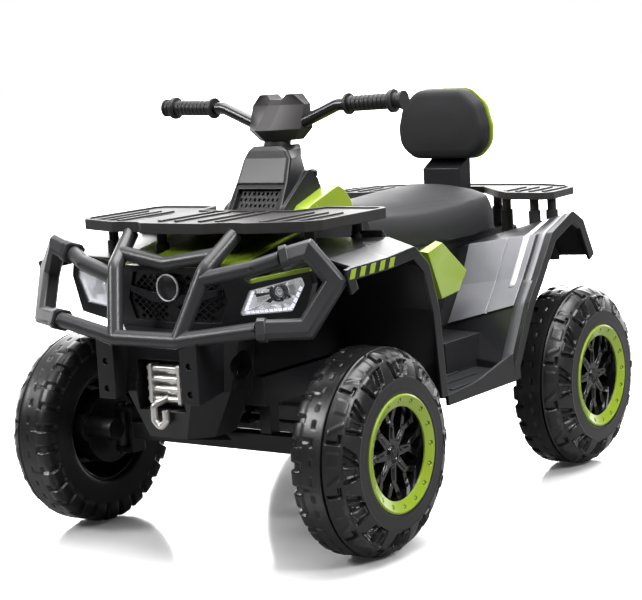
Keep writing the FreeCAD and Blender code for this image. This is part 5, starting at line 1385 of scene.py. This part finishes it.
@dataclass
class Fasteners:
    """Screws in the bracket seats, with their driver crosses as painted shade, and the plugs of the bumper's tube
    bolts.
    """

    seat_x: float = 0.090
    seat_y: float = -0.5535
    seat_sink: float = 0.0070
    seat_z: Point2 = (0.292, 0.339)
    head_r: float = 0.0050
    head_rise: float = 0.0039
    tube_plugs: tuple[Point3, ...] = ((0.214, -0.522, 0.399), (0.185, -0.485, 0.494))
    plug_r: float = 0.0042
    run_up: float = 0.2
    steps: int = 20

    def build(self) -> None:
        """Builds the screws and the plugs on both sides."""
        for side in Side:
            heads = []
            slots = []
            for z in self.seat_z:
                place = Vector((side.value * self.seat_x, self.seat_y + self.seat_sink, z))
                matrix = Form.facing(place, FORWARD)
                heads.append(Form.moved(self.head(), matrix))
                slots += [Form.moved(slot, matrix) for slot in self.cross()]
            plugs = [self.plug(place, side) for place in self.tube_plugs]
            Form.solid("bracket_screws", heads, Palette.SCREW, side)
            # The crosses are painted shade: dark bars on each head where the recess would be.
            Form.solid("screw_cross_painted_shade", slots, Palette.MESH_BLACK, side)
            Form.solid("tube_plugs", plugs, Palette.MESH_BLACK, side)

    def head(self) -> Shape:
        """Pan head about X.

        Returns:
            Points and faces.
        """
        r = self.head_r
        profile = [(0.0, r), (0.0020, r), (0.0032, r * 0.75), (0.0038, r * 0.35), (self.head_rise, 0.0002)]
        return Form.turned(profile, self.steps)

    def cross(self) -> list[Shape]:
        """Two dark bars, painted shade where the driver cross is sunk into the head.

        Returns:
            Points and faces of each.
        """
        size = (self.head_r * 1.1, self.head_r * 0.26, 0.0006)
        centre = Vector((self.head_rise, 0, 0))
        ways = (Vector((0, 1, 0)), Vector((0, 0, 1)))
        return [Form.block(centre, *ways, size), Form.block(centre, *reversed(ways), size)]

    def plug(self, place: Point3, side: Side) -> Shape:
        """Sunk plug on the front of a bumper tube.

        Args:
            place: the bolt's place on the left side.
            side: the side that it is on.

        Returns:
            Points and faces.
        """
        start = (side.value * place[0], place[1] - self.run_up, place[2])
        spot, normal = Form.hit("bumper_tubes", start, (0, 1, 0))
        r = self.plug_r
        profile = [(-0.002, r), (0.0003, r), (0.0006, r * 0.85), (-0.0002, r * 0.7), (-0.0002, 0.0002)]
        return Form.moved(Form.turned(profile, self.steps), Form.facing(spot, normal))


@dataclass
class Stripes:
    """Slanted green bars on the front fenders, the bands along the rear fenders' edges, and a paler strip down
    each rear fender's front flange that is a painted highlight.
    """

    bars: int = 5
    bar_first_y: float = -0.429
    bar_pitch: float = 0.0285
    bar_width: float = 0.0150
    bar_low: float = 0.4715
    bar_high: float = 0.4872
    bar_climb: float = 0.033
    bar_slant: float = 0.007
    bar_gap: float = 0.0002
    bar_thick: float = 0.0004
    band_lift: float = 0.0006
    band_thick: float = 0.0005
    band_y: Point2 = (0.176, 0.322)
    band_steps: int = 26
    bands: tuple[tuple[str, Point2], ...] = (("STRIPE_WHITE", (0.274, 0.287)), ("STRIPE_GREY", (0.306, 0.320)))
    # Place of the painted highlight strip on the rear fender flange.
    strip_x: Point2 = (0.300, 0.324)
    strip_z: Point2 = (0.225, 0.385)
    strip_start_y: float = -0.05
    clear_x: float = 0.5
    clear_z: float = 0.8

    def build(self) -> None:
        """Builds the stripes on both sides."""
        for side in Side:
            bars = [self.bar(side, self.bar_first_y + index * self.bar_pitch) for index in range(self.bars)]
            Form.solid("fender_bars", bars, Palette.GREEN, side)
            fender = f"rear_fender_{side.word}"
            for name, reach in self.bands:
                self.ribbon(name.lower(), Palette[name], side, reach, self.band_y,
                            lambda x, y: self.from_above(fender, x, y))
            # The flange strip is a painted highlight: paler grey where the flange faces the light.
            self.ribbon("flange_painted_highlight", Palette.PAINTED_HIGHLIGHT_STRIP, side, self.strip_x, self.strip_z,
                        lambda x, z: Form.hit(fender, (x, self.strip_start_y, z), (0, 1, 0)))

    def bar(self, side: Side, y: float) -> Shape:
        """One slanted bar on the outer face of a front fender.

        Args:
            side: the side that it is on.
            y: the bar's middle at its foot.

        Returns:
            Points and faces.
        """
        half = self.bar_width / 2
        slant = self.bar_slant
        corners = [(y - half, self.bar_low), (y + half, self.bar_low), (y + half + slant, self.bar_high),
                   (y - half + slant, self.bar_high)]
        spots = []
        for along, level in corners:
            z = level + self.bar_climb * (along - self.bar_first_y)
            start = (side.value * self.clear_x, along, z)
            spot, _ = Form.hit(f"front_fender_{side.word}", start, (-side.value, 0, 0))
            spots.append((spot.x + side.value * self.bar_gap, along, z))
        return Form.prism(spots, (side.value * self.bar_thick, 0, 0))

    def from_above(self, fender: str, x: float, y: float) -> tuple[Vector, Vector]:
        """Top of a rear fender or of the side panel that lies on it, and the normal there.

        Args:
            fender: the fender's node.
            x: place across.
            y: place along.

        Returns:
            The place and the normal.
        """
        start, down = (x, y, self.clear_z), (0, 0, -1)
        hits = [Form.hit(fender, start, down), Form.seek("side_panels", start, down)]
        return max((hit for hit in hits if hit), key=lambda hit: hit[0].z)

    def ribbon(self, name: str, finish: Palette, side: Side, reach: Point2, run: Point2,
               surface: Callable[[float, float], tuple[Vector, Vector]]) -> None:
        """Drapes a thin band over a surface.

        Args:
            name: the piece's name, before that of its side.
            finish: its finish.
            side: the side that it is on.
            reach: distances from the bike's middle between which it lies.
            run: start and end along its length.
            surface: gives the place and the normal from x and a value of the run.
        """
        rows = []
        for step in range(self.band_steps + 1):
            along = run[0] + (run[1] - run[0]) * step / self.band_steps
            spots = [surface(side.value * (reach[0] + (reach[1] - reach[0]) * share), along)
                     for share in (0.0, 0.5, 1.0)]
            rows.append([tuple(spot + normal * self.band_lift) for spot, normal in spots])
        piece = Form.solid(name, [Form.grid(rows)], finish, side, smooth_angle=60.0)
        piece.modifiers.new("thick", "SOLIDIFY").thickness = self.band_thick


@dataclass
class Dresser:
    """Gives every CAD node that stays in view its finish."""

    smooth_angle: float = 28.0

    def dress(self) -> None:
        """Assigns materials to the CAD nodes by the record's slots."""
        finishes = {entry.value.name: entry for entry in Palette}
        for subpart in frame["record"]["subparts"]:
            node = frame["nodes"][subpart["node"]]
            node.data.materials.clear()
            node.data.materials.append(finishes[subpart["material_slot"]].value.material())
            node.data.shade_smooth()
            node.data.set_sharp_from_angle(angle=math.radians(self.smooth_angle))
            LOG.info("%s dressed in %s", subpart["node"], subpart["material_slot"])


def main() -> None:
    """Builds the scene."""
    logging.basicConfig(level=logging.INFO)
    Studio().build()
    Dresser().dress()
    cushions = (Cushion("seat", (0, 0, -1), fill=0.8),
                Cushion("backrest_pad", (0, 1, 0), fill=0.9, seam_rise=0.010))
    for assembly in (Wheels(), *cushions, Headlights(), NoseTrim(), GripRings(), CornerGuards(), Fasteners(),
                     Stripes()):
        assembly.build()
    LOG.info("scene built")


if __name__ == "__main__":
    main()
